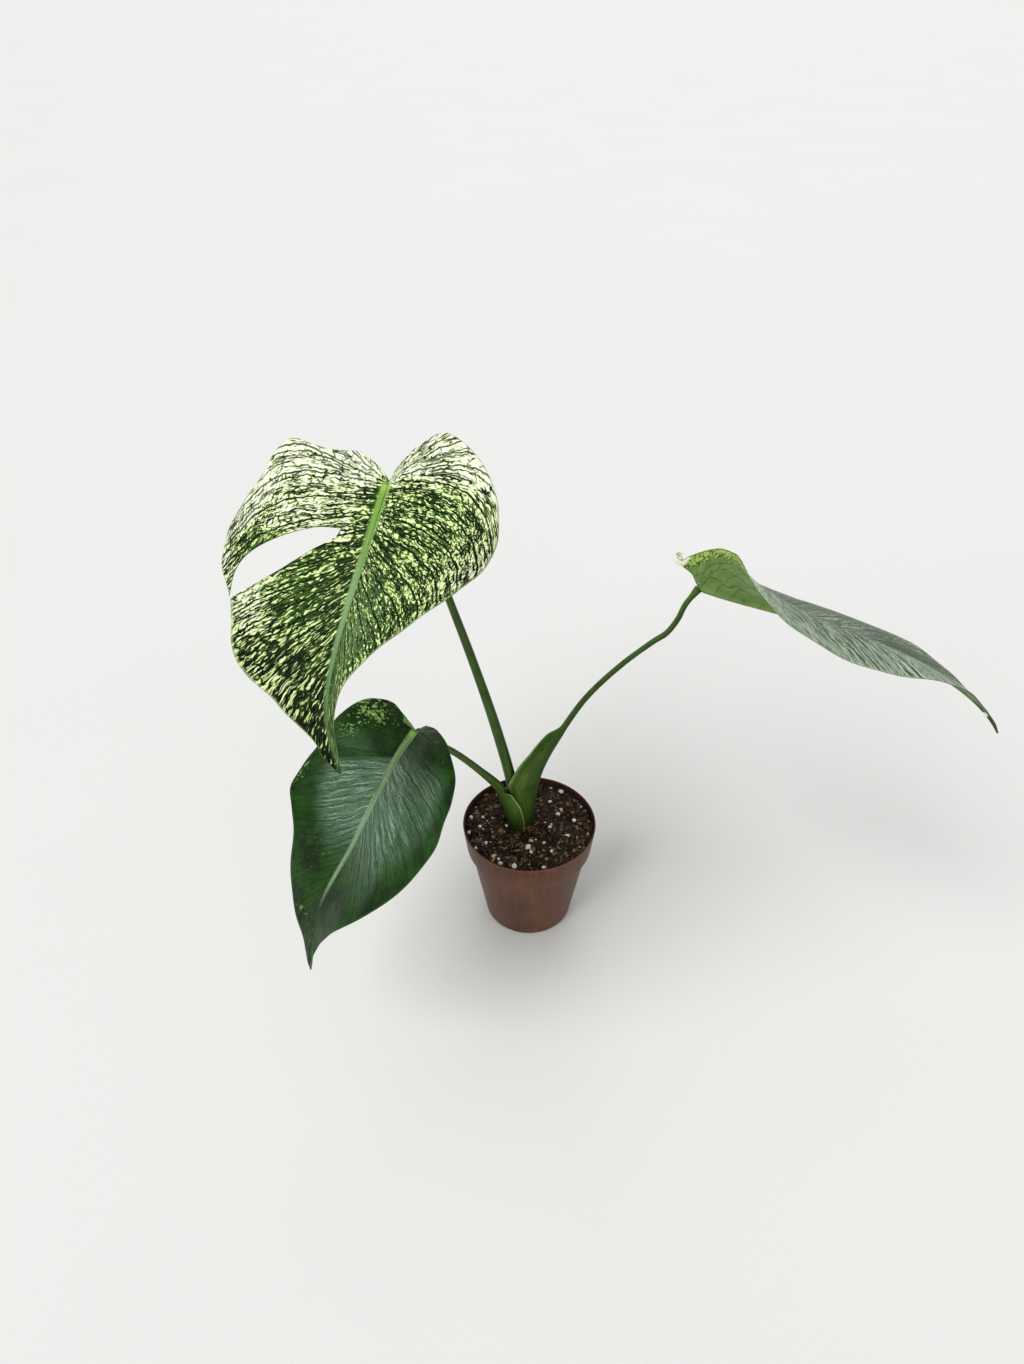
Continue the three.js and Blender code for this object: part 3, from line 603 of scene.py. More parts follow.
def pot_finish(settings):
    """Brown moulded plastic: cloudy colour, fine speckle, faint drag marks, a painted highlight along the top
    of the rim, and stains of damp peat inside.
    """
    finish = Finish("pot_plastic", specular_ior_level=0.16)
    place = finish.place()
    x, y, z = place.parts()
    cloud = place.noise(28.0, 4.0)
    drag = place.stretched(260.0, 260.0, 18.0).noise(1.0)
    speck = place.noise(2200.0, 1.0)
    # Painted highlight along the top of the rim
    rim = z.band((POT_HEIGHT - 1.6) * MM, (POT_HEIGHT - 0.4) * MM)
    # Wet peat stains the inside under the rim
    out = finish.put("VectorMath", {0: finish.vector(x, y)}, 1, operation="LENGTH")
    wall = finish.ramp(z, [(0.0, BASE_RADIUS), (BODY_TOP_Z, BODY_TOP_RADIUS),
                           (COLLAR_FOOT_Z, COLLAR_FOOT_RADIUS), (POT_HEIGHT, RIM_RADIUS)])
    inside = (out - wall).band(-0.4 * MM, -0.8 * MM)
    colour = finish.coats(
        settings.plastic,
        (cloud.band(0.3, 0.75), settings.worn),
        (drag.band(0.45, 0.75, 0.0, 0.3), settings.rim),
        # The painted highlight, in the rim colour
        (rim * 0.75, settings.rim),
        (inside * cloud.band(0.25, 0.6, 0.35, 0.9) * z.band(0.02, 0.06), settings.stain),
    )
    return finish.done(colour, cloud.band(0.25, 0.8, 0.36, 0.52), drag * 0.5 + speck, 0.00004)


def peat_finish(settings):
    """Peat: nearly black brown with redder and tanner fibres, painted shade in its hollows, and crumbs and
    shreds paler by their tint.
    """
    finish = Finish("peat", specular_ior_level=0.15)
    place = finish.place()
    fine = place.noise(900.0, 4.0, 0.65)
    coarse = place.noise(190.0, 3.0)
    colour = finish.coats(
        settings.peat,
        (coarse.band(0.35, 0.7), settings.peat_light),
        (fine.band(0.52, 0.74) * 0.55, settings.fibre),
        (finish.single("tint"), settings.straw),
        # Painted shade in the hollows, where the fine noise that also raises the bump is low
        (fine.band(0.5, 0.28, 0.0, 0.75), settings.hollow_shade),
    )
    return finish.done(colour, fine.band(0.3, 0.7, 0.55, 0.95), fine + coarse, 0.0006)


def perlite_finish(settings):
    """White expanded glass grains with pits and a yellowish or brown cast by each grain's tint."""
    finish = Finish("perlite", specular_ior_level=0.4)
    place = finish.place()
    dirt = place.noise(420.0, 3.0, 0.6)
    colour = finish.coats(
        settings.perlite,
        (finish.single("tint"), settings.perlite_yellow),
        (dirt.band(0.6, 0.85, 0.0, 0.6), settings.fibre),
    )
    return finish.done(colour, 0.7, dirt * 0.6 + place.cell_edges(900.0).band(0.0, 0.25), 0.0001)


class LeafFinish(Finish):
    """A finish with the patterns of both faces of a leaf. Streaks run along the side veins in lanes about
    2 mm wide: each vein gap has more lanes the wider it is. A streak is noise in its lane, higher inside
    the lane's cells."""

    def __init__(self, name, gloss):
        super().__init__(name, specular_ior_level=gloss)
        self.length, count, self.spacing = self.field("vein_place")
        self.across, self.distance, self.share = self.field("leaf_place")
        # The tone field holds the share of cream, the amount of painted sheen, and the midrib
        self.cover, self.painted_sheen, self.rib = self.field("tone")
        # How far the green darkens towards the tip
        self.dusk = self.single("dusk")
        self.flat = self.vector(self.across, self.distance)
        long_wave = self.flat.noise(0.09, 2.0, dimensions="2D") - 0.5
        short_wave = self.flat.noise(0.27, 1.0, dimensions="2D") - 0.5
        waver = long_wave * VEIN_WAVER[0] + short_wave * VEIN_WAVER[1]
        self.count = count + waver / self.spacing.highest(2.0)
        self.streak = None
        for lanes, near, far in LANES:
            lane = self.lane(STREAK_PACE, lanes)
            level = lane.noise(1.0, 3.0, 0.62, "2D") + lane.cell_edges(0.7, "2D").band(0.0, 0.24, -0.13, 0.1)
            if self.streak:
                level = self.blend(self.spacing.band(near, far), self.streak, level)
            self.streak = level
        self.brush = self.lane(0.05, 3.5).noise(1.0, 3.0, 0.55, "2D")
        self.strand = self.lane(0.04, 8.5).noise(1.0, 3.0, 0.6, "2D")
        self.patch = self.flat.noise(0.055, 2.0, 0.5, "2D")
        crooked = self.vector(short_wave * 0.6 + self.length * 0.11, self.count * 1.4)
        self.net = crooked.cell_edges(1.0, "2D")
        self.fine_net = self.flat.cell_edges(0.75, "2D")

    def lane(self, along_vein, over_veins):
        """Place in a pattern that runs along the veins, by its pace along them and its lanes in a gap."""
        return self.vector(self.length * along_vein, self.count * over_veins)

    def over(self, cover):
        """How far the streak is over the limit past which that share of the skin is cream."""
        slope, offset = CREAM_LIMIT
        return self.streak - (cover * slope + offset)

    def veins(self, times, narrow, wide):
        """Shows 1 on the veins and 0 off them, with this number of veins for each side vein, by the
        distance to the nearest whole count, in millimetres."""
        scaled = self.count * times
        distance = abs(scaled - scaled.maths("ROUND")) * (self.spacing / times)
        return distance.band(narrow, wide, 1.0, 0.0)


def leaf_top_finish(blade_name, settings, skin):
    """Upper face: cream streaks and speckles, each with a thin lime rim and nearly black green beside it,
    on green that in places has a greyish painted sheen, painted pale streaks of glare and painted shade along
    fine creases."""
    leaf = LeafFinish(blade_name + "_top", skin.gloss)
    cover, brush, spacing = leaf.cover, leaf.brush, leaf.spacing
    # The share of cream wanders from place to place, and along the veins
    patchy = cover + (leaf.patch - 0.5) * 0.35 + (brush - 0.5) * 1.3
    over = leaf.over(leaf.blend(cover.band(0.0, 0.12), cover, patchy))
    weight = leaf.flat.noise(0.16, 2.0, 0.5, "2D")
    reach = weight.band(0.35, 0.65, -0.1, -0.19)
    beside = over.band(reach, reach + 0.05) * cover.band(0.05, 0.25) * brush.band(0.58, 0.46, 0.5, 1.0)
    rim = over.band(brush.band(0.46, 0.6, -0.03, -0.12), 0.0) * cover.band(0.02, 0.2)
    # Painted glare: pale streaks along the veins where the face would reflect the light
    shine = leaf.single("shine")
    painted_glare_streaks = (shine * 0.14 + leaf.strand).band(0.54, 0.72) * shine.band(0.02, 0.3)
    # Dark veins stay on the cream, and the net joins them where there is little green
    main = leaf.veins(*MAIN_VEINS) * spacing.band(1.5, 4.0)
    minor = leaf.veins(*SIDE_VEINS) * spacing.band(3.0, 6.0)
    fine = leaf.veins(*FINE_VEINS) * spacing.band(5.0, 9.0) * brush.band(0.6, 0.46)
    # Fine veins fade where the painted sheen is strong
    fine = fine * leaf.painted_sheen.band(0.1, 0.6, 1.0, 0.3) * cover.band(0.1, 0.35)
    net = leaf.net.band(0.02, 0.06, 1.0, 0.0) * cover.band(0.62, 0.85)
    lines = (minor.highest(net) * weight.band(0.36, 0.54)).highest(fine).highest(main)
    lines = lines * cover.band(0.85, 1.1, skin.vein_ink, 0.9 * skin.vein_ink)
    groove = leaf.vector(leaf.across * 0.9, leaf.distance * 0.035).noise(1.0, 2.0, 0.5, "2D")
    ribs = leaf.coats(
        skin.rib_base,
        (leaf.distance.band(8.0, 90.0), skin.rib_tip),
        (groove.band(0.48, 0.62, 0.0, skin.groove), skin.green),
        (leaf.distance.band(9.0, 2.0, 0.0, 0.8), settings.joint),
        (leaf.dusk * 0.6, skin.deep),
    )
    colour = leaf.coats(
        skin.deep,
        (leaf.patch.band(0.3, 0.7), skin.green),
        (leaf.dusk, settings.ink),
        # Painted sheen where the face would reflect the light, streaked along the veins
        (leaf.painted_sheen * leaf.strand.band(0.3, 0.52, 0.66, 1.0), skin.painted_sheen),
        # Painted shade along fine creases: thin dark lines that follow the streaks
        (abs(leaf.streak - 0.5).band(0.005, 0.045, 1.0, 0.0) * skin.painted_crease_shade, skin.deep),
        (beside, settings.ink),
        (rim, settings.lime),
        (over.band(-0.006, 0.018), skin.cream),
        (over.band(0.05, 0.16) * cover.band(0.3, 0.8), settings.white),
        # Painted glare streaks
        (painted_glare_streaks, skin.shine),
        (lines, settings.ink),
        (leaf.share.band(0.988, 0.998, 0.0, 0.6), skin.edge),
        (leaf.rib, ribs),
    )
    rough = leaf.streak.band(0.3, 0.7, skin.roughness - 0.05, skin.roughness + 0.07)
    height = leaf.fine_net.band(0.0, 0.2) * 0.15 + leaf.streak + brush * 1.2 - main.highest(minor) * 0.7
    return leaf.done(colour, rough, height, 0.0003)


def leaf_under_finish(blade_name, settings, skin):
    """Underside: paler and duller, with raised veins that loop near the lobes, and the speckles only
    showing through, except at the edge where they are bright."""
    leaf = LeafFinish(blade_name + "_under", 0.35)
    over = leaf.over(leaf.cover)
    through = over.band(-0.04, 0.05)
    bright = leaf.cover.band(0.45, 0.75)
    lobe = leaf.distance.band(75.0, 40.0)
    wander = leaf.patch * 1.3 + leaf.share * LOOPS
    loops = abs(wander.maths("FRACT") - 0.5).band(0.02, 0.09, 1.0, 0.0) * lobe
    veins = leaf.veins(*MAIN_VEINS).highest(leaf.net.band(0.01, 0.05, 0.5, 0.0)) * 0.6
    veins = veins.highest(loops) * leaf.spacing.band(0.8, 3.0) * leaf.cover.band(0.8, 1.05, 1.0, 0.4)
    fine = leaf.fine_net.band(0.0, 0.14, 1.0, 0.0)
    colour = leaf.coats(
        skin.under,
        (leaf.patch.band(0.3, 0.7), skin.under_light),
        (lobe.band(0.0, 1.0, 0.0, 0.35), settings.lime),
        (through * 0.45, settings.lime),
        (through * bright * 0.85, skin.rim_cream),
        (over.band(-0.02, -0.07) * bright, settings.ink),
        (leaf.dusk, settings.ink),
        (leaf.cover.band(0.95, 1.15), settings.white),
        (veins * 0.85, skin.under_vein),
        (fine * 0.25, skin.under_vein),
        (leaf.strand.band(0.5, 0.7, 0.0, 0.5), skin.under_light),
        (leaf.share.band(0.975, 0.99, 0.0, 0.7), skin.under_vein),
        (leaf.rib * 0.45, skin.under_light),
    )
    return leaf.done(colour, 0.5, veins * 1.4 + fine * 0.25, 0.00025)


def stalk_finish(settings):
    """Stalk skin: fine lines along it, faint mottling, painted shade along its back and inner face, a darker
    foot, and thin pale or papery edges.
    """
    finish = Finish("stalk_skin", specular_ior_level=0.2, coat_weight=0.04, coat_roughness=0.3)
    turn, height, open_share = finish.field("stalk_place")
    lines = finish.vector(turn * 14.0, height * 0.03).noise(1.0, 3.0, 0.6)
    edge = open_share * abs(turn).band(0.89, 0.97)
    colour = finish.coats(
        settings.stalk,
        (finish.place().noise(90.0, 3.0).band(0.42, 0.75, 0.0, 0.7), settings.stalk_deep_and_shade),
        (lines.band(0.5, 0.66) * 0.45, settings.stalk_light),
        (lines.band(0.46, 0.34, 0.0, 0.4), settings.stalk_deep_and_shade),
        (open_share * height.band(70.0, 20.0, 0.0, 0.3), settings.stalk_light),
        # Painted shade along the back and the inner face of each stalk and sheath, fading towards the sides
        (abs(turn).band(0.1, 0.8, 0.75, 0.0), settings.stalk_deep_and_shade),
        (height.band(26.0, 3.0, 0.0, 0.8), settings.foot),
        (edge, settings.sheath_edge),
        (edge * height.band(26.0, 8.0), settings.papery),
    )
    return finish.done(colour, lines.band(0.3, 0.7, 0.34, 0.48), lines, 0.00018)


def stem_finish(settings):
    """Stem skin: green-brown and corky, with rings of old leaf scars."""
    finish = Finish("stem_skin", specular_ior_level=0.3)
    place = finish.place()
    cork = place.noise(320.0, 4.0, 0.6)
    rings = place.stretched(30.0, 30.0, 420.0).noise(1.0)
    colour = finish.coats(settings.stalk_deep_and_shade, (cork.band(0.35, 0.7), settings.papery))
    return finish.done(colour, 0.75, cork + rings, 0.0006)


# Pot


def pot_shape(sides):
    """Turned profile: outside from the base up to the rim, and inside back down to the floor."""
    profile = rounded([
        (0, 0, 0),
        (BASE_RADIUS - BASE_TUCK, 0, BASE_ROUNDING),
        (BODY_TOP_RADIUS, BODY_TOP_Z, SHOULDER_ROUNDING),
        (COLLAR_FOOT_RADIUS, COLLAR_FOOT_Z, COLLAR_ROUNDING),
        (RIM_RADIUS, POT_HEIGHT, RIM_ROUNDING),
        (RIM_RADIUS - POT_WALL, POT_HEIGHT, RIM_ROUNDING),
        (COLLAR_FOOT_RADIUS - POT_WALL, COLLAR_FOOT_Z + POT_WALL, COLLAR_ROUNDING),
        (BODY_TOP_RADIUS - POT_WALL, BODY_TOP_Z, SHOULDER_ROUNDING),
        (BASE_RADIUS - POT_WALL, FLOOR_THICKNESS, BASE_ROUNDING),
        (0, FLOOR_THICKNESS, 0),
    ])
    return joined_grids(turned(profile, sides)[None])


def drill_shape(sides=32):
    """Upright cylinders on the drain circle, as one mesh."""
    half = 3 * FLOOR_THICKNESS
    cylinder = turned([(0, -half), (DRAIN_RADIUS, -half), (DRAIN_RADIUS, half), (0, half)], sides)
    angle = round_angles(DRAIN_HOLES) + np.pi / DRAIN_HOLES
    shift = DRAIN_CIRCLE * np.stack([np.cos(angle), np.sin(angle), 0 * angle], -1)
    return joined_grids(cylinder + shift[:, None, None])


def cut_away(piece, shape):
    """Takes the closed shape out of the piece for good."""
    points, triangles = shape[:2]
    mesh = bpy.data.meshes.new("drill")
    mesh.from_pydata((points * MM).tolist(), [], triangles.tolist())
    drill = linked("drill", mesh)
    cut = piece.modifiers.new("drain_holes", "BOOLEAN")
    cut.operation = "DIFFERENCE"
    cut.solver = "EXACT"
    cut.object = drill
    bpy.context.view_layer.update()
    result = bpy.data.meshes.new_from_object(piece.evaluated_get(bpy.context.evaluated_depsgraph_get()))
    piece.modifiers.clear()
    piece.data = result
    bpy.data.objects.remove(drill)


# Soil


def soil_height(x, y):
    """Level, plus long waves, less a dip round the plant."""
    lumps = np.sin(0.16 * x + 1.1) * np.cos(0.14 * y - 0.4) + np.sin(0.12 * x + 0.19 * y)
    away = np.hypot(x - STEM_CENTRE[0], y - STEM_CENTRE[1])
    return SOIL_LEVEL + SOIL_RELIEF * lumps - SOIL_DIP * np.exp(-(away / SOIL_DIP_RADIUS) ** 2)


def crumbly_height(x, y):
    """Soil height with crumbs: fractal noise, sharper hollows where a folded noise is low, and a hole for
    the stem."""
    place = np.stack([x, y, 0 * x], -1)
    fold = np.abs(fractal_noise(place, **FOLD_NOISE))
    hole = smooth(STEM_RADIUS - np.hypot(x - STEM_CENTRE[0], y - STEM_CENTRE[1]), -0.6, 0.6)
    crumbs = CRUMB_RELIEF * fractal_noise(place, **CRUMB_NOISE) - FOLD_RELIEF * (0.25 - fold)
    return soil_height(x, y) + crumbs - STEM_HOLE * hole


def soil_shape():
    """Top as rings of points at the crumbly height, then the wall just inside the pot, down to the floor."""
    slope = (RIM_RADIUS - COLLAR_FOOT_RADIUS) / (POT_HEIGHT - COLLAR_FOOT_Z)
    collar, body, base = (radius - POT_WALL - SOIL_INSET
                          for radius in (COLLAR_FOOT_RADIUS, BODY_TOP_RADIUS, BASE_RADIUS))
    top_radius = collar + slope * (SOIL_LEVEL - COLLAR_FOOT_Z - POT_WALL) + SOIL_TOP_REACH
    floor = FLOOR_THICKNESS + SOIL_FLOOR_GAP
    wall = [(collar, COLLAR_FOOT_Z + 1.5), (body, BODY_TOP_Z), (base, FLOOR_THICKNESS + BASE_ROUNDING),
            (base - BASE_ROUNDING, floor), (0, floor)]
    top = turned([(top_radius * share, 0) for share in np.linspace(0, 1, SOIL_RINGS)], SOIL_SIDES)
    top[..., 2] = crumbly_height(top[..., 0], top[..., 1])
    top[0, :, 2] = top[0, 0, 2]
    return joined_grids(np.concatenate([top, turned(wall, SOIL_SIDES)])[None])


def spread_places(count, rng, reach, stem_reach):
    """Even random places on the soil's disc: radius by a square root, and pushed off the stem."""
    radius = reach * np.sqrt(rng.random(count))
    angle = 2 * np.pi * rng.random(count)
    place = np.stack([radius * np.cos(angle), radius * np.sin(angle)], -1)
    away = place - STEM_CENTRE
    distance = np.linalg.norm(away, axis=1, keepdims=True)
    pushed = STEM_CENTRE + away / np.maximum(distance, 1e-6) * stem_reach
    return np.where(distance < stem_reach, pushed, place)


def skewed(rng, count, least, spread, power):
    """Random numbers from the least up over the spread, closer to the least the higher the power."""
    return least + spread * rng.random(count) ** power


def turns_from(rng, count, tilt):
    """Rotation matrices: a random turn about Z after a random tilt, up to the given angle, about X."""
    turn = 2 * np.pi * rng.random(count)
    lean = tilt * (2 * rng.random(count) - 1)
    zero, one = np.zeros(count), np.ones(count)
    about_x = np.array([[one, zero, zero],
                        [zero, np.cos(lean), -np.sin(lean)],
                        [zero, np.sin(lean), np.cos(lean)]])
    about_z = np.array([[np.cos(turn), -np.sin(turn), zero],
                        [np.sin(turn), np.cos(turn), zero],
                        [zero, zero, one]])
    return np.einsum("ijn,jkn->nik", about_z, about_x)


def lumps_shape(places, sizes, flatness, rows, columns, rng, roughness, sink):
    """Rough balls on the soil: a sphere grid whose radius is jittered by one random number a corner,
    scaled, turned and set at each place with part of its height sunk in."""
    polar = np.linspace(0, np.pi, rows)
    ball = turned(np.stack([np.sin(polar), np.cos(polar)], -1), columns)
    jitter = 1 + roughness * (rng.random((len(places), rows, columns, 1)) - 0.5)
    jitter[:, [0, -1]] = jitter[:, [0, -1], :1]
    shapes = ball * jitter * np.array(flatness) * sizes[:, None, None, None]
    shapes = np.einsum("nij,nrcj->nrci", turns_from(rng, len(places), LUMP_TILT), shapes)
    x, y = places.T
    return joined_grids(shapes + np.stack([x, y, soil_height(x, y) + sink * sizes], -1)[:, None, None])


def shreds_shape(places, lengths, widths, rng, steps, sides):
    """Fibres and bark shreds on the soil: tapered tubes whose centre lines are arcs that lie along the
    ground, with ends that may lift."""
    count = len(places)
    s = np.linspace(-1, 1, steps)
    lengths = lengths[:, None]
    heading = 2 * np.pi * rng.random(count)[:, None]
    angle = heading + SHRED_BEND * (rng.random(count)[:, None] - 0.5) * s
    step = lengths / steps
    x, y = (np.cumsum(way * step, axis=1) for way in (np.cos(angle), np.sin(angle)))
    x += places[:, :1] - x.mean(axis=1, keepdims=True)
    y += places[:, 1:] - y.mean(axis=1, keepdims=True)
    lift = SHRED_LIFT * rng.random(count)[:, None]
    lift = lift * (1 + s * np.where(rng.random(count) < 0.5, -1, 1)[:, None]) ** 2
    z = soil_height(x, y) + SHRED_RISE + lift * np.minimum(lengths / 8, 1.2)
    line = np.stack([x, y, z], -1)[:, :, None]
    thick = (widths[:, None] * np.sqrt(np.clip(1.02 - s ** 2, 0, 1)))[..., None, None]
    turn = round_angles(sides)[:, None]
    across = np.stack([-np.sin(angle), np.cos(angle), 0 * angle], -1)[:, :, None]
    tubes = line + across * (thick * np.cos(turn)) + UP * (0.6 * thick * np.sin(turn))
    caps = line[:, [0, -1]] + np.zeros((sides, 3))
    return joined_grids(np.concatenate([caps[:, :1], tubes, caps[:, 1:]], axis=1))


# Leaf blades


def measured(blade):
    """The blade with its midrib's length, and where even steps of length lie on its Bezier curve."""
    w = np.linspace(0, 1, MIDRIB_STEPS)
    lengths = run_lengths(bezier(blade["midrib"], w))
    total = lengths[-1]
    return {**blade, "length": total, "places": np.interp(np.linspace(0, total, MIDRIB_STEPS), lengths, w)}


def blade_frame(blade, distance):
    """Midrib points at distances along the leaf, with unit vectors across and up: the cross product
    of the tangent and the way the face looks, both rolled about the tangent."""
    total = blade["length"]
    place = along(blade["places"], np.clip(distance, 0, total) / total)
    controls = np.array(blade["midrib"], float)
    tangent = unit(bezier(np.diff(controls, axis=0), place))
    centre = bezier(controls, place) + tangent * np.minimum(distance, 0)[..., None]
    flat_side = unit(np.cross(tangent, np.array(blade["face"])))
    flat_up = np.cross(flat_side, tangent)
    share = np.clip((distance / total + LOBE_REACH) / (1 + LOBE_REACH), 0, 1)
    roll = np.radians(bezier(blade["roll"], share))[..., None]
    side = np.cos(roll) * flat_side + np.sin(roll) * flat_up
    up = np.cos(roll) * flat_up - np.sin(roll) * flat_side
    return centre, side, up, share


def blade_points(blade, half, flat, lift):
    """Each half leaves the midrib at its fold angle and bends as an arc by its curl."""
    x, distance = flat[..., 0], flat[..., 1]
    centre, side, up, share = blade_frame(blade, distance)
    fold = np.radians(bezier(half["fold"], share))
    curl = np.radians(bezier(half["curl"], share)) / 100
    curl = np.where(np.abs(curl) < 1e-7, 1e-7, curl)
    across = (np.sin(fold + curl * x) - np.sin(fold)) / curl
    drop = (np.cos(fold) - np.cos(fold + curl * x)) / curl
    return centre + side * (half["side"] * across)[..., None] + up * (lift - drop)[..., None]


def ray_points(blade, half, knot, share):
    """Flat points at shares of the rays that go from the midrib to knots of the outline. A ray's run
    along the leaf is a power of the share."""
    outline = [*half["outline"], (0, blade["length"])]
    last = len(outline) - 1
    edge = through_points(outline, knot)
    crowd = np.clip((knot - LOBE_KNOTS) / (last - LOBE_KNOTS), 0, 1) ** RAY_CROWDING
    start = blade["length"] * crowd
    notch_sweep = half.get("notch_sweep", NOTCH_SWEEP)
    sweep = notch_sweep + (RAY_SWEEP - notch_sweep) * np.clip(knot / (LOBE_KNOTS + 1), 0, 1)
    return np.stack([edge[..., 0] * share, start + (edge[..., 1] - start) * share ** sweep], -1)


def opened(blade, half, flat, knot, share, is_upper):
    """Moves the slit's own ray to the slit's upper or lower edge, and the rays beside it by less and less."""
    slit = half["slit"]
    u = np.clip((share - slit["start"]) / (1 - slit["start"]), 0, 1)
    upper, lower = (through_points(slit[edge], u * (len(slit[edge]) - 1)) for edge in ("upper", "lower"))
    closed = ray_points(blade, half, np.full_like(share, slit["knot"]), share)
    apart = np.where(is_upper, (slit["knot"] - knot) / SLIT_REACH_UP, (knot - slit["knot"]) / SLIT_REACH_DOWN)
    near = np.clip(1 - apart, 0, 1)[..., None]
    shift = near * (np.where(is_upper[..., None], upper, lower) - closed)
    return np.where((share > slit["start"])[..., None], flat + shift, flat)


def vein_lanes(flat):
    """Where flat places lie among the side veins: length along the vein, number of veins passed, and
    the gap between veins in millimetres. A vein leaves the midrib at its start, leans by the lean times
    the start, and bends by the sixth power of x. Before the first they fan out from the midrib's foot."""
    x = flat[..., 0]
    share = x / VEIN_BEND_WIDTH
    run = flat[..., 1] - VEIN_BEND * share ** 6
    start = run / (1 + VEIN_LEAN * x)
    slope = VEIN_LEAN * start + 6 * VEIN_BEND / VEIN_BEND_WIDTH * share ** 5
    reach = np.hypot(x, run)
    count = np.where(start > 0, start / VEIN_GAP, np.arctan2(run, x) / VEIN_FAN)
    length = np.where(start > 0, x * np.hypot(1, 0.7 * slope), reach)
    gap = np.where(start > 0, VEIN_GAP * (1 + VEIN_LEAN * x) / np.hypot(1, slope), reach * VEIN_FAN)
    return length, count, gap


def blade_lift(blade, half, flat, knot, share, last):
    """Quilting between the side veins with a narrow groove on each, and a wave towards the edge."""
    _, count, gap = vein_lanes(flat)
    off = np.abs(count - np.round(count))
    swell = np.sin(np.pi * np.minimum(1.15 * share, 1)) * np.minimum(flat[..., 0] / QUILT_START, 1)
    swell = swell * smooth(gap, 2, 7)
    quilt = 0.5 * QUILT_DEPTH * swell * (1 - 2 * np.exp(-(off / VEIN_GROOVE) ** 2))
    minor = np.abs(3 * count - np.round(3 * count))
    quilt -= MINOR_QUILT * QUILT_DEPTH * swell * np.exp(-(minor / MINOR_GROOVE) ** 2)
    phase = 2 * np.pi * blade["edge_waves"] * knot / last
    wave = np.sin(phase + 2 * half["side"]) + EDGE_RIPPLE * np.sin(EDGE_RIPPLE_PACE * phase)
    return quilt + EDGE_WAVE * wave * share ** 3 * np.sin(np.pi * knot / last)


def rolled_tip(blade, half):
    """Curled end of a lobe: an oval strand whose centre line leaves the blade's plane straight on and goes
    round a spiral towards the upper face, thinner and narrower along its length."""
    roll = half["rolled_tip"]
    x, y = roll["place"]
    flat = np.array([(x, y), (x, y - 1), (x + 1, y)], float)
    root, ahead, beside = blade_points(blade, half, flat, np.zeros(3))
    forward = unit(ahead - root)
    across = unit(beside - root)
    up = np.cross(across, forward)
    up *= np.sign(up[2])
    turn = np.radians(np.linspace(0, roll["turn"], CURL_STEPS))[:, None]
    radius = roll["radius"] * (1 - CURL_CLOSING * turn)
    outward = forward * np.sin(turn) - up * np.cos(turn)
    spiral = root + forward * roll["run"] + up * roll["radius"] + radius * outward
    line = np.concatenate([[root], spiral, spiral[-1:]])
    normal = np.concatenate([-outward[:1], -outward, -outward[-1:]])
    taper = (1 - CURL_TAPER * np.linspace(0, 1, len(line)) ** 1.5)[:, None, None]
    taper[-1] = 0
    angle = round_angles(CURL_SIDES)[:, None]
    points = line[:, None] + taper * roll["half_width"] * np.cos(angle) * across
    points = points + 0.5 * BLADE_THICKNESS * np.sqrt(taper) * np.sin(angle) * normal[:, None]
    points, triangles, _ = joined_grids(points[None])
    return points, faced_out(points, triangles)


def half_grid(blade, half):
    """Grid of one half, ray by ray, from midrib to edge: points, triangles, and the values of vein_lanes,
    the flat place, the share of the ray and the side. The slit's ray comes twice, with no cells between."""
    last = len(half["outline"])
    knots = np.linspace(0, last, BLADE_COLUMNS + 1)
    slit = half.get("slit")
    slit_column = -1
    if slit:
        slit_column = int(round(slit["knot"] * BLADE_COLUMNS / last))
        knots = np.concatenate([knots[:slit_column], [slit["knot"]] * 2, knots[slit_column + 1:]])
    columns = np.arange(len(knots))
    rows = np.linspace(0, 1, BLADE_ROWS + 1)
    knot, share = np.meshgrid(knots, rows + 0.12 * np.sin(2 * np.pi * rows) / (2 * np.pi), indexing="ij")
    flat = ray_points(blade, half, knot, share)
    if slit:
        is_upper = np.broadcast_to((columns <= slit_column)[:, None], knot.shape)
        flat = opened(blade, half, flat, knot, share, is_upper)
    if "rolled_tip" in half:
        end = half["rolled_tip"]["place"][1]
        flat[..., 1] = np.maximum(flat[..., 1], end + half["rolled_tip"]["kept"] * (flat[..., 1] - end))
    points = blade_points(blade, half, flat, blade_lift(blade, half, flat, knot, share, last))
    length, count, gap = vein_lanes(flat)
    count = count + (RIGHT_HALF_COUNT if half["side"] < 0 else 0)
    values = np.stack([length, count, gap, flat[..., 0], flat[..., 1], share, 0 * share + half["side"]], -1)
    cells = grid_triangles(len(knots), len(rows), False).reshape(len(knots) - 1, -1, 3)
    cells = cells[columns[:-1] != slit_column].reshape(-1, 3)
    return points.reshape(-1, 3), cells if half["side"] > 0 else cells[:, ::-1], values.reshape(-1, 7)


def spot(x, y, centre, size):
    """Round hill of height 1: the exponential of minus the squared distance over the sizes."""
    return np.exp(-((x - centre[0]) / size[0]) ** 2 - ((y - centre[1]) / size[1]) ** 2)


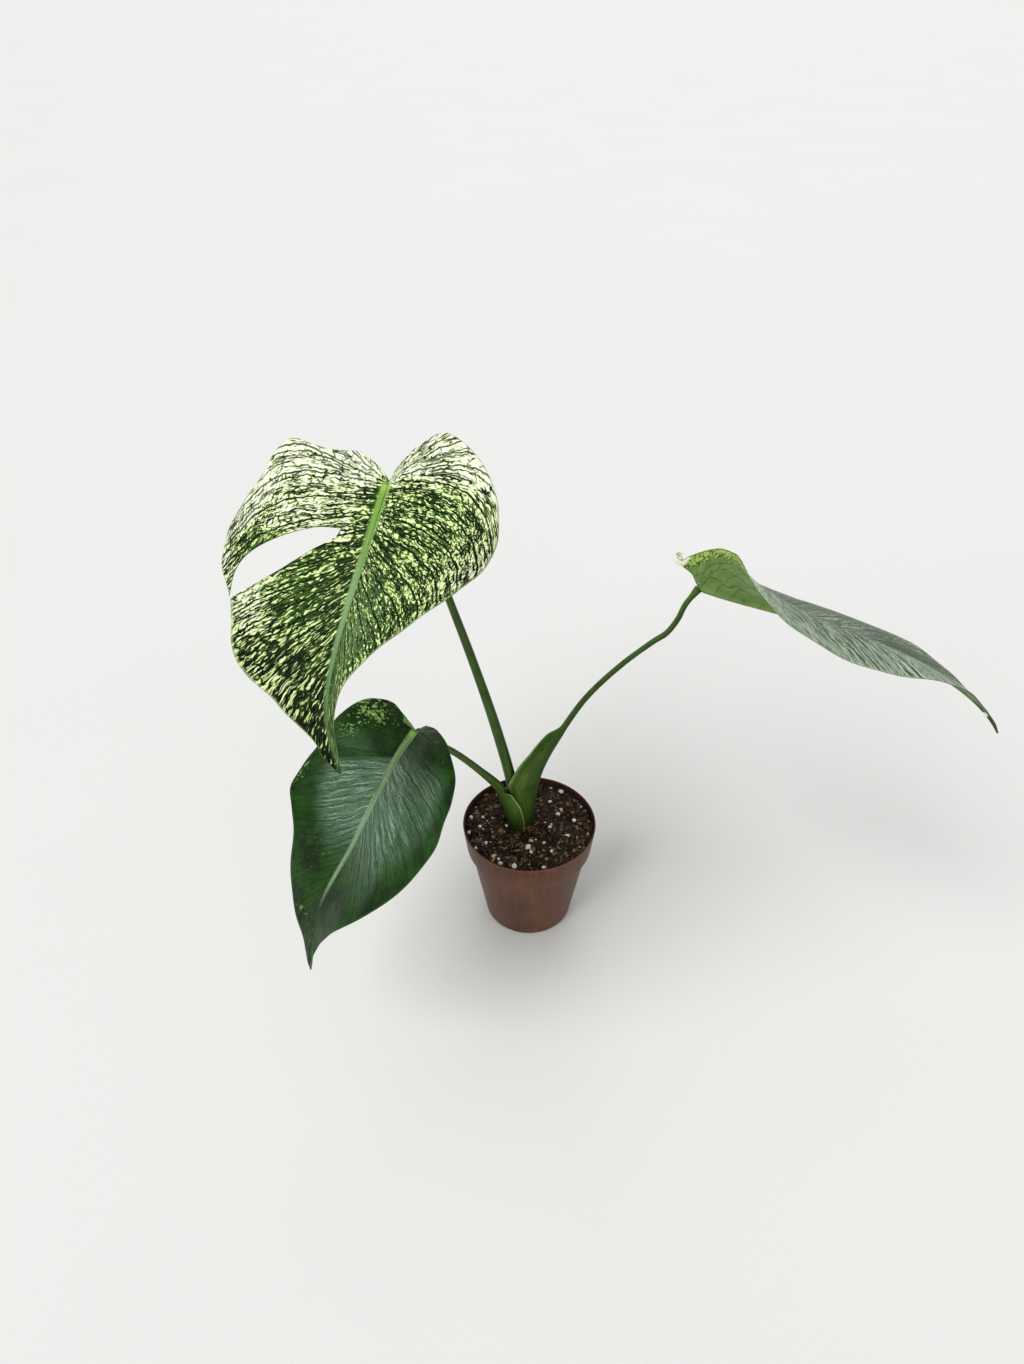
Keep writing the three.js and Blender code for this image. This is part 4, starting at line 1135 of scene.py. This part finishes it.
def speckled_tone(x, y, share, side, length):
    """Share of cream, painted sheen, painted glare and darkening towards the tip of the speckled leaf at
    flat places: nearly all cream on the left lobe, half in the band under it, about a third in the field,
    and less at the tip."""
    edge = smooth(share, 0.7, 1.0)
    lobe = smooth(3 + 48 * smooth(x, 66, 94) - y, -9, 7) * smooth(x, 3, 10)
    band = smooth(-y, -50, -38) * smooth(x, 4, 22)
    left = 0.34 + 0.38 * band + 0.16 * edge + 0.44 * edge * smooth(-y, -122, -100)
    left = left + (1.08 - left) * lobe - 0.1 * spot(x, y, (30, 84), (30, 12))
    right = 0.44 + 0.56 * smooth(-y, -10, 10) + 0.26 * edge * smooth(-y, -92, -60)
    right = right + 0.1 * smooth(-y, 6, 22) * edge - 0.36 * spot(x, y, (20, 112), (32, 44))
    cover = np.where(side > 0, left, right) * (1 - 0.8 * smooth(y, 0.66 * length, 0.92 * length))
    # Painted sheen: strong right of the midrib lower down, faint on the left half
    painted_sheen = np.where(side > 0, 0.05, 0.95 * spot(x, y, (24, 106), (28, 44)))
    # Darker towards the tip, on the left half from nearer the stalk
    dusk = np.where(side > 0, 0.95, 0.45) * smooth(y, 0.36 * length, 0.82 * length)
    dusk = np.maximum(dusk, 0.95 * smooth(y, 0.8 * length, 0.98 * length))
    return np.clip(cover, 0.05, 1.08), painted_sheen, 0 * x, dusk


def dark_tone(x, y, share, side, length):
    """The dark leaf: a few speckles on the left lobe and the outer edge, and a greyish painted sheen each
    side of the midrib, from the first main vein to the dark edge and tip."""
    lobe = 0.74 * spot(x, y, (48, 4), (28, 11)) + 0.5 * spot(x, y, (60, 22), (13, 6))
    lobe = lobe + 0.55 * spot(x, y, (78, 62), (7, 18)) + 0.62 * spot(x, y, (18, 155), (9, 6))
    cover = np.where(side > 0, lobe, 0) - 0.3
    # Painted sheen on the left half past the first main vein and over most of the right half, gone before the
    # tip
    left = smooth(y - 20 - 0.36 * x, 0, 5) * smooth(-share, -0.86, -0.62)
    left = np.maximum(left, 0.3 * spot(x, y, (46, 28), (26, 8)))
    right = smooth(14 + 0.62 * np.minimum(y, 58) - x, -6, 6)
    right = np.maximum(right, 0.6 * smooth(-share, -0.96, -0.8)) * smooth(y, 8, 30)
    painted_sheen = np.where(side > 0, left, right) * smooth(-y, -120, -66)
    # A fifth of the painted sheen is also painted glare
    return cover, painted_sheen, 0.2 * painted_sheen, 0.2 * smooth(y, 0.6 * length, length) + 0 * x


def side_tone(x, y, share, side, length):
    """The leaf that is seen from the side: speckled rim on the near lobe, a greyish painted sheen on top,
    painted streaks of glare that are densest at the near edge, and a green tip with a cream patch."""
    rim = smooth(share, 0.66, 0.9) * smooth(-y, -60, -20)
    near = 0.12 + 0.72 * rim + 1.3 * smooth(-y, 16.5, 19.5)
    far = 0.03 + 0.2 * smooth(share, 0.75, 1.0)
    tip = smooth(y, 0.84 * length, 0.93 * length)
    cover = np.where(side > 0, near, far) * (1 - tip) + 1.3 * spot(x, y, (0, 0.925 * length), (6, 4.5))
    # Painted sheen over the whole top except the tip
    painted_sheen = 0.95 * (1 - tip) + 0 * x
    # Painted glare: on the near half it grows towards the edge, on the far half it is a patch
    far_painted_glare = 0.06 + 0.4 * spot(x, y, (16, 92), (12, 26))
    shine = np.where(side > 0, 0.05 + 0.85 * smooth(share, 0.55, 1.0), far_painted_glare)
    return cover, painted_sheen, np.clip(shine, 0, 1) * (1 - tip), 0.9 * tip


TONES = {"leaf_blade_1": speckled_tone, "leaf_blade_2": dark_tone, "leaf_blade_3": side_tone}


def with_rolled_tip(shape, blade, half, palest):
    """The blade's shape with the lobe's curled end, all of which has the pattern of the palest corner."""
    points, faces, finish, fields = shape
    curl, curl_faces = rolled_tip(blade, half)
    fields = {key: np.concatenate([values, np.repeat(values[palest:palest + 1], len(curl), axis=0)])
              for key, values in fields.items()}
    return (np.concatenate([points, curl]), np.concatenate([faces, curl_faces + len(points)]),
            np.concatenate([finish, np.ones(len(curl_faces))]), fields)


def blade_shape(blade):
    """Closed blade: both halves' grids welded along the midrib, a face each side of that middle surface,
    a wall round the edge, and the midrib's ridge under it."""
    (left, left_faces, left_values), (right, right_faces, right_values) = (
        half_grid(blade, half) for half in blade["halves"])
    faces = np.concatenate([left_faces, right_faces + len(left)])
    points, triangles, kept = welded(np.concatenate([left, right]), faces)
    values = np.concatenate([left_values, right_values])[kept]
    x, distance, share, side = values[:, 3:].T
    normals = corner_normals(points, triangles)
    length = blade["length"]
    taper = 1 - MIDRIB_THINNING * np.clip(distance / length, 0, 1)
    crown = np.clip(1 - (x / (MIDRIB_HALF_WIDTH * taper)) ** 2, 0, 1) * smooth(distance, -3.0, 0.0)
    half_thick = 0.5 * BLADE_THICKNESS * (1 - EDGE_THINNING * smooth(share, 0.93, 1.0))
    top = points + normals * (half_thick + MIDRIB_CROWN * taper * crown)[:, None]
    under = points - normals * (half_thick + MIDRIB_DEPTH * taper * crown)[:, None]
    number = len(points)
    a, b = border_edges(triangles).T
    walls = np.concatenate([np.stack([b, a, a + number], -1), np.stack([b, a + number, b + number], -1)])
    faces = np.concatenate([triangles, triangles[:, ::-1] + number, walls])
    finish = (np.arange(len(faces)) >= len(triangles)).astype(float)
    cover, painted_sheen, shine, dusk = TONES[blade["name"]](x, distance, share, side, length)
    rib_foot, rib_top, rib_end = blade["rib"]
    rib_width = rib_foot + (rib_top - rib_foot) * np.clip(distance / (rib_end * length), 0, 1)
    rib = smooth(rib_width + 0.9 - x, 0.0, 2.0) * smooth(distance, -2.0, 2.0)
    rib = rib * smooth(-distance, -(rib_end + 0.08) * length, -(rib_end - 0.12) * length)
    fields = {
        "vein_place": values[:, :3],
        "leaf_place": np.stack([side * x, distance, share], -1),
        "tone": np.stack([cover, painted_sheen, rib], -1),
        "shine": shine,
        "dusk": dusk,
    }
    fields = {key: np.concatenate([field, field]) for key, field in fields.items()}
    shape = np.concatenate([top, under]), faces, finish, fields
    for half in blade["halves"]:
        if "rolled_tip" in half:
            palest = np.argmax(np.where((side == half["side"]) & (share < 0.9), cover, -1))
            shape = with_rolled_tip(shape, blade, half, palest)
    return shape


# Leaf stalks and stem


def stalk_shape(stalk, blade):
    """Tube whose section blends from a round rod into a horseshoe sheath towards the stem. The section
    runs along the outer side and back along the inner side, and both ends are closed."""
    centre, _, up, _ = blade_frame(blade, np.array([0.0]))
    seat = 0.5 * BLADE_THICKNESS + STALK_SEAT_GAP
    depths = [STALK_BEND_DEPTH, seat] if stalk["bends_under_blade"] else [seat]
    ends = [tuple(centre[0] - depth * up[0]) for depth in depths]
    line, distance = centripetal_line([*stalk["points"], *ends], STALK_STEPS + 1)
    sheath = stalk["sheath"]
    distance = distance[:, None]
    total = distance[-1, 0]
    tangent = unit(np.gradient(line, axis=0))
    foot_opening, top_opening = np.array(stalk["openings"], float)
    opening_reach = max(sheath["length"], 1)
    opening = foot_opening + (top_opening - foot_opening) * np.clip(distance / opening_reach, 0, 1) ** 2
    inward = unit(opening - tangent * np.sum(tangent * opening, axis=1, keepdims=True))
    outer_side = np.cross(tangent, inward)
    half = along(stalk["widths"], distance / total)
    half = half * (1 + STALK_FLARE * smooth(distance, total - STALK_FLARE_LENGTH, total))
    climb = np.minimum(distance / sheath["length"], 1)
    open_share = smooth((sheath["length"] - distance) / (SHEATH_FADE * sheath["length"]), 0, 1)
    depth, width = along(sheath["depths"], climb), along(sheath["widths"], climb)
    first_turn, last_turn = np.radians(sheath["turns"])
    # Turns of -1 to 1 go round the outer side, and then back round the inner side
    turn = np.linspace(-1, 1, STALK_ARC_STEPS + 1)
    turn = np.concatenate([turn, turn[::-1]])
    inner = np.arange(len(turn)) > STALK_ARC_STEPS
    angle = turn * np.where(turn < 0, first_turn, last_turn)
    rod_angle = 0.5 * np.pi * turn
    rod = np.stack([half * np.sin(rod_angle), half * np.cos(rod_angle) * np.where(inner, 1, -1)], -1)
    thin = SHEATH_WALL * (1 - SHEATH_THINNING * np.abs(turn) ** 3)
    wall = inner * (thin + half * np.cos(angle / 2) ** 4)
    wing = np.stack([(width - wall) * np.sin(angle), depth - half - (depth - wall) * np.cos(angle)], -1)
    section = rod + open_share[..., None] * (wing - rod)
    points = line[:, None] + section[..., :1] * outer_side[:, None] + section[..., 1:] * inward[:, None]
    columns = len(turn)
    a = np.arange(STALK_ARC_STEPS)
    cap = np.concatenate([np.stack([a, a + 1, columns - 2 - a], -1),
                          np.stack([a, columns - 2 - a, columns - 1 - a], -1)])
    top_cap = cap[:, ::-1] + (len(line) - 1) * columns
    triangles = np.concatenate([grid_triangles(len(line), columns, True)[:, ::-1], cap, top_cap])
    place = np.stack(np.broadcast_arrays(turn, distance, open_share), -1)
    points, triangles, kept = welded(points.reshape(-1, 3), triangles)
    return points, triangles, place.reshape(-1, 3)[kept]


def stem_shape(sides=72):
    """Turned stub whose skin waves up it in rings of leaf scars."""
    profile = rounded([
        (0, STEM_FOOT_Z, 0),
        (STEM_FOOT_RADIUS - 2.2, STEM_FOOT_Z, 1.5),
        (STEM_FOOT_RADIUS, STEM_FOOT_Z + 3.3, 2),
        (STEM_RADIUS, STEM_TOP_Z - 6.2, 3),
        (STEM_RADIUS, STEM_TOP_Z, 1),
        (0, STEM_TOP_Z, 0),
    ], 9)
    heights = profile[:, 1]
    profile[:, 0] += np.where(profile[:, 0] > 1, 0.12 * np.sin(2.4 * heights) - 0.12, 0)
    grid = turned(profile, sides)
    grid[..., :2] += STEM_CENTRE
    return joined_grids(grid[None])


# Settings


def colour_setting(name, description, *screen_colour):
    return bpy.props.FloatVectorProperty(name=name, description=description, default=screen(*screen_colour),
                                         size=4, min=0.0, max=1.0, subtype="COLOR")


def share_setting(name, description, default, least=0.0):
    return bpy.props.FloatProperty(name=name, description=description, default=default, min=least, max=1.0,
                                   subtype="FACTOR")


def power_setting(name, description, default):
    return bpy.props.FloatProperty(name=name, description=description, default=default, min=0.0)


def count_setting(name, description, default, least=0):
    return bpy.props.IntProperty(name=name, description=description, default=default, min=least)


class PlantPotSettings(bpy.types.PropertyGroup):
    plastic: colour_setting("Plastic", "Main colour of the pot", 75, 49, 37)
    worn: colour_setting("Worn plastic", "Lighter, duller patches of the pot", 104, 69, 52)
    # The rim colour also paints the highlight along the top of the rim
    rim: colour_setting("Rim", "Reddish light edge and drag marks", 134, 76, 58)
    stain: colour_setting("Stain", "Wet peat inside the rim", 38, 26, 20)
    sides: count_setting("Sides", "Faces round the pot", 180, 24)


class PlantSoilSettings(bpy.types.PropertyGroup):
    peat: colour_setting("Peat", "Main colour of the soil", 32, 22, 17)
    peat_light: colour_setting("Light peat", "Drier patches of the soil", 66, 46, 35)
    fibre: colour_setting("Fibre", "Reddish fibres in the peat", 104, 74, 58)
    straw: colour_setting("Straw", "Pale shreds and bark bits", 172, 138, 112)
    # Colour of the painted shade in the hollows between the crumbs
    hollow_shade: colour_setting("Wet", "Deep hollows between the crumbs", 6, 4, 3)
    perlite: colour_setting("Perlite", "White grains", 255, 253, 246)
    perlite_yellow: colour_setting("Yellow grains", "Grains with a yellow cast", 228, 214, 156)
    crumbs: count_setting("Crumbs", "Loose crumbs on the soil", 1500)
    shreds: count_setting("Shreds", "Fibres and bark shreds", 620)
    small_grains: count_setting("Small grains", "Fine perlite", 52)


class PlantSkin(bpy.types.PropertyGroup):
    deep: colour_setting("Deep green", "Darkest green of the upper face", 32, 68, 12)
    green: colour_setting("Green", "Lighter green of the upper face", 66, 110, 32)
    # Colour of the painted sheen, where the face would reflect the light
    painted_sheen: colour_setting("Grey bloom", "Greyish green where the face looks cloudy", 94, 126, 78)
    # Colour of the painted glare: pale streaks along the veins
    shine: colour_setting("Shine", "Brushed pale streaks", 186, 212, 184)
    cream: colour_setting("Cream", "Speckles and streaks", 228, 246, 172)
    edge: colour_setting("Edge", "Thin line round the blade", 170, 190, 130)
    rib_base: colour_setting("Midrib base", "Midrib near the stalk", 126, 166, 74)
    rib_tip: colour_setting("Midrib tip", "Midrib towards the tip", 134, 168, 114)
    under: colour_setting("Underside", "Main colour of the underside", 96, 138, 66)
    under_light: colour_setting("Light underside", "Paler patches of the underside", 124, 160, 88)
    under_vein: colour_setting("Underside veins", "Veins of the underside", 66, 104, 40)
    rim_cream: colour_setting("Underside rim", "Bright speckles near the edge", 180, 214, 96)
    vein_ink: share_setting("Vein strength", "How dark the veins are on top", 1.0)
    # Strength of the painted shade along fine creases
    painted_crease_shade: share_setting("Wrinkles", "Strength of the fine dark wrinkles", 0.0)
    gloss: share_setting("Gloss", "Strength of the face's reflections", 0.07)
    groove: share_setting("Midrib grooves", "Strength of the lines on the midrib", 0.25)
    roughness: share_setting("Roughness", "Blur of the face's reflections", 0.4, 0.1)


class PlantLeafSettings(bpy.types.PropertyGroup):
    white: colour_setting("White", "Middle of the broadest cream places", 250, 254, 232)
    lime: colour_setting("Lime", "Thin rim of the speckles", 118, 158, 58)
    joint: colour_setting("Joint", "Bright foot of the midrib", 158, 198, 96)
    ink: colour_setting("Ink", "Nearly black green beside the cream", 5, 18, 1)


class PlantStalkSettings(bpy.types.PropertyGroup):
    stalk: colour_setting("Stalk", "Main green of the stalks", 62, 92, 24)
    # The deep stalk colour also paints shade along the back and inner face of the stalks and sheaths
    stalk_deep_and_shade: colour_setting("Deep stalk", "Darker mottling", 30, 54, 10)
    stalk_light: colour_setting("Light stalk", "Fine lines and the sheath's foot", 98, 136, 48)
    foot: colour_setting("Foot", "Brownish foot in the soil", 40, 38, 20)
    sheath_edge: colour_setting("Sheath edge", "Thin edge of the sheath", 160, 182, 116)
    papery: colour_setting("Papery edge", "Dried edge of the sheath at its foot", 140, 116, 84)


class PlantStageSettings(bpy.types.PropertyGroup):
    floor: colour_setting("Floor", "Plain pale floor", 238, 238, 236)
    floor_cloud: colour_setting("Floor patches", "Faint patches of the floor", 210, 210, 208)
    key_power: power_setting("Key light", "Strength of the main light", 2.15)
    fill_power: power_setting("Front light", "Strength of the front light", 0.5)
    back_power: power_setting("Back light", "Strength of the low light behind", 0.7)
    sky: power_setting("Sky", "Strength of the even light all round", 0.42)
    backdrop: power_setting("Backdrop", "Brightness of what shows past the floor's end", 0.88)


# Where a leaf's skin differs from the defaults, with screen colours
SKINS = {
    "leaf_blade_1": {},
    "leaf_blade_2": {
        "deep": (10, 38, 3), "green": (30, 70, 10), "painted_sheen": (86, 112, 88), "cream": (134, 164, 100),
        "edge": (60, 84, 50), "rib_base": (126, 154, 108), "rib_tip": (124, 150, 118), "vein_ink": 0.45,
        "painted_crease_shade": 0.8, "gloss": 0.09, "roughness": 0.3, "groove": 0.6, "shine": (142, 168, 146),
    },
    "leaf_blade_3": {
        "deep": (28, 54, 20), "green": (48, 80, 36), "painted_sheen": (82, 106, 78), "cream": (208, 224, 190),
        "edge": (176, 194, 164), "under": (72, 108, 36), "under_light": (112, 140, 76),
        "under_vein": (48, 84, 24), "vein_ink": 0.25, "painted_crease_shade": 0.3, "gloss": 0.12, "roughness": 0.36,
        "groove": 0.4, "shine": (188, 208, 184),
    },
}


def skin_of(scene, name):
    """The leaf's skin settings, with its own colours and strengths filled in."""
    skin = getattr(scene, "plant_skin_" + name[-1])
    for key, value in SKINS[name].items():
        setattr(skin, key, screen(*value) if isinstance(value, tuple) else value)
    return skin


# Operators


class PLANT_OT_pot(bpy.types.Operator):
    """Turn the nursery pot and cut its drain holes"""
    bl_idname = "plant.pot"
    bl_label = "Pot"

    def execute(self, context):
        settings = context.scene.plant_pot
        finish = pot_finish(settings)
        piece = make_piece("nursery_pot", pot_shape(settings.sides), "pot_plastic", ["pot"], [finish])
        cut_away(piece, drill_shape())
        piece.data.set_sharp_from_angle(angle=SHARP_EDGE)
        return {"FINISHED"}


class PLANT_OT_soil(bpy.types.Operator):
    """Fill the pot with crumbly peat, and lay crumbs, shreds and perlite grains on it"""
    bl_idname = "plant.soil"
    bl_label = "Soil"

    def execute(self, context):
        settings = context.scene.plant_soil
        peat = peat_finish(settings)
        rng = np.random.default_rng(SOIL_SEED)
        reach = RIM_RADIUS - POT_WALL - LITTER_INSET

        def lay(name, shape, finish, tint, smooth_faces=True):
            make_piece(name, shape, "potting_soil", ["soil"], [finish], smooth_faces=smooth_faces,
                       tint=tint[shape[2]])

        lay("soil_bed", soil_shape(), peat, np.zeros(1))

        count = settings.crumbs
        places = spread_places(count, rng, reach, STEM_RADIUS + 1)
        sizes = skewed(rng, count, 0.6, 1.7, 2.5)
        shape = lumps_shape(places, sizes, (1, 0.75, 0.6), 5, 6, rng, roughness=0.6, sink=0.35)
        lay("soil_crumbs", shape, peat, skewed(rng, count, 0, 0.75, 4), smooth_faces=False)

        count = settings.shreds
        places = spread_places(count, rng, reach - 1.5, STEM_RADIUS + 2)
        lengths = skewed(rng, count, 2.5, 8, 2.2)
        widths = skewed(rng, count, 0.22, 0.55, 2.2)
        shape = shreds_shape(places, lengths, widths, rng, steps=9, sides=5)
        lay("soil_shreds", shape, peat, skewed(rng, count, 0, 1, 2.2))

        count = settings.small_grains
        grains = np.array(GRAINS, float)
        places = np.concatenate([grains[:, :2], spread_places(count, rng, reach, STEM_RADIUS + 2)])
        sizes = np.concatenate([grains[:, 2] * GRAIN_SHARE, skewed(rng, count, 0.5, 0.7, 1.5)])
        yellow = np.concatenate([grains[:, 3], skewed(rng, count, 0, 0.6, 1)])
        shape = lumps_shape(places, sizes, (1, 0.78, 0.72), 9, 12, rng, roughness=0.3, sink=0.3)
        lay("perlite_grains", shape, perlite_finish(settings), yellow)
        return {"FINISHED"}


class PLANT_OT_stem(bpy.types.Operator):
    """Turn the short stem in its hole in the soil"""
    bl_idname = "plant.stem"
    bl_label = "Stem"

    def execute(self, context):
        finish = stem_finish(context.scene.plant_stalk)
        make_piece("plant_stem", stem_shape(), "stem_skin", ["stem"], [finish])
        return {"FINISHED"}


class PLANT_OT_stalks(bpy.types.Operator):
    """Carry the leaf stalks and their sheaths up from the stem"""
    bl_idname = "plant.stalks"
    bl_label = "Leaf stalks"

    def execute(self, context):
        finish = stalk_finish(context.scene.plant_stalk)
        for stalk, blade in zip(STALKS, BLADES):
            name = stalk["name"]
            *shape, place = stalk_shape(stalk, measured(blade))
            make_piece(name + "_skin", shape, "stalk_skin", [name], [finish], stalk_place=place)
        return {"FINISHED"}


class PLANT_OT_blades(bpy.types.Operator):
    """Bend and quilt the leaf blades and give each its own markings"""
    bl_idname = "plant.blades"
    bl_label = "Leaf blades"

    def execute(self, context):
        settings = context.scene.plant_leaf
        for blade in BLADES:
            name = blade["name"]
            skin = skin_of(context.scene, name)
            *shape, face_finish, fields = blade_shape(measured(blade))
            finishes = [leaf_top_finish(name, settings, skin), leaf_under_finish(name, settings, skin)]
            make_piece(name + "_skin", shape, blade["slot"], [name], finishes, face_finish, **fields)
        return {"FINISHED"}


class PLANT_OT_stage(bpy.types.Operator):
    """Lay a plain floor, hang soft lights and set the camera"""
    bl_idname = "plant.stage"
    bl_label = "Floor, lights and camera"

    def execute(self, context):
        scene = context.scene
        settings = scene.plant_stage
        mesh = bpy.data.meshes.new("floor")
        corners = [(x * FLOOR_REACH, y * FLOOR_REACH, 0) for x, y in ((-1, -1), (1, -1), (1, 1), (-1, 1))]
        mesh.from_pydata(corners, [], [(0, 1, 2, 3)])
        finish = Finish("floor", specular_ior_level=0.2)
        place = finish.place()
        patches = place.noise(3.0, 3.0).band(0.3, 0.7, 0.0, 0.04)
        colour = finish.coats(settings.floor, (patches, settings.floor_cloud))
        mesh.materials.append(finish.done(colour, 0.8, place.noise(400.0), 0.0001))
        floor = linked("floor", mesh)

        # Each light's name, place, spread in degrees and strength; it looks at the origin
        for name, (x, y, z), spread, power in (
                ("key_light", (-1.0, -0.7, 1.15), 45, settings.key_power),
                ("front_light", (0.5, -1.7, 0.7), 70, settings.fill_power),
                ("back_light", (0.2, 1.7, 0.6), 50, settings.back_power)):
            light = bpy.data.lights.new(name, "SUN")
            light.angle = math.radians(spread)
            light.energy = power
            lamp = linked(name, light)
            lamp.location = (x, y, z)
            lamp.rotation_euler = (math.atan2(math.hypot(x, y), z), 0, math.atan2(x, -y))

        # The camera sees the backdrop past the floor's end as pale as the floor, at its own strength
        world = bpy.data.worlds.new("studio")
        world.use_nodes = True
        tree = world.node_tree
        background = tree.nodes["Background"]
        background.inputs["Color"].default_value = (1, 1, 1, 1)
        strength = tree.nodes.new("ShaderNodeMapRange")
        strength.inputs["To Min"].default_value = settings.sky
        strength.inputs["To Max"].default_value = settings.backdrop
        rays = tree.nodes.new("ShaderNodeLightPath")
        tree.links.new(rays.outputs["Is Camera Ray"], strength.inputs["Value"])
        tree.links.new(strength.outputs["Result"], background.inputs["Strength"])
        scene.world = world
        scene.view_settings.view_transform = "Standard"

        lens = bpy.data.cameras.new("camera")
        lens.sensor_width = SENSOR
        lens.lens = FOCAL_SHARE * SENSOR
        lens.clip_start = 0.01
        camera = linked("camera", lens)
        camera.location = CAMERA_PLACE
        camera.rotation_euler = (math.pi / 2 - CAMERA_DOWN, 0, 0)
        scene.camera = camera
        return {"FINISHED"}


class PLANT_PT_panel(bpy.types.Panel):
    """Lists the plant's pieces and settings"""
    bl_label = "Potted aroid"
    bl_idname = "PLANT_PT_panel"
    bl_space_type = "VIEW_3D"
    bl_region_type = "UI"
    bl_category = "Plant"

    def draw(self, context):
        for operator in OPERATORS:
            self.layout.operator(operator.bl_idname)
        for name in SETTINGS:
            group = getattr(context.scene, name)
            box = self.layout.box()
            for key in group.bl_rna.properties.keys():
                if key not in ("rna_type", "name"):
                    box.prop(group, key)


OPERATORS = [PLANT_OT_pot, PLANT_OT_soil, PLANT_OT_stem, PLANT_OT_stalks, PLANT_OT_blades, PLANT_OT_stage]
SETTINGS = {
    "plant_pot": PlantPotSettings,
    "plant_soil": PlantSoilSettings,
    "plant_leaf": PlantLeafSettings,
    "plant_stalk": PlantStalkSettings,
    "plant_stage": PlantStageSettings,
    "plant_skin_1": PlantSkin,
    "plant_skin_2": PlantSkin,
    "plant_skin_3": PlantSkin,
}


def register():
    for group in dict.fromkeys(SETTINGS.values()):
        bpy.utils.register_class(group)
    for name, group in SETTINGS.items():
        setattr(bpy.types.Scene, name, bpy.props.PointerProperty(type=group))
    for item in (*OPERATORS, PLANT_PT_panel):
        bpy.utils.register_class(item)


def unregister():
    for item in (PLANT_PT_panel, *reversed(OPERATORS)):
        bpy.utils.unregister_class(item)
    for name in SETTINGS:
        delattr(bpy.types.Scene, name)
    for group in dict.fromkeys(SETTINGS.values()):
        bpy.utils.unregister_class(group)


def main():
    register()
    bpy.ops.plant.stage()
    bpy.ops.plant.pot()
    bpy.ops.plant.soil()
    bpy.ops.plant.stem()
    bpy.ops.plant.stalks()
    bpy.ops.plant.blades()
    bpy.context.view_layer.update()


if __name__ == "__main__":
    main()
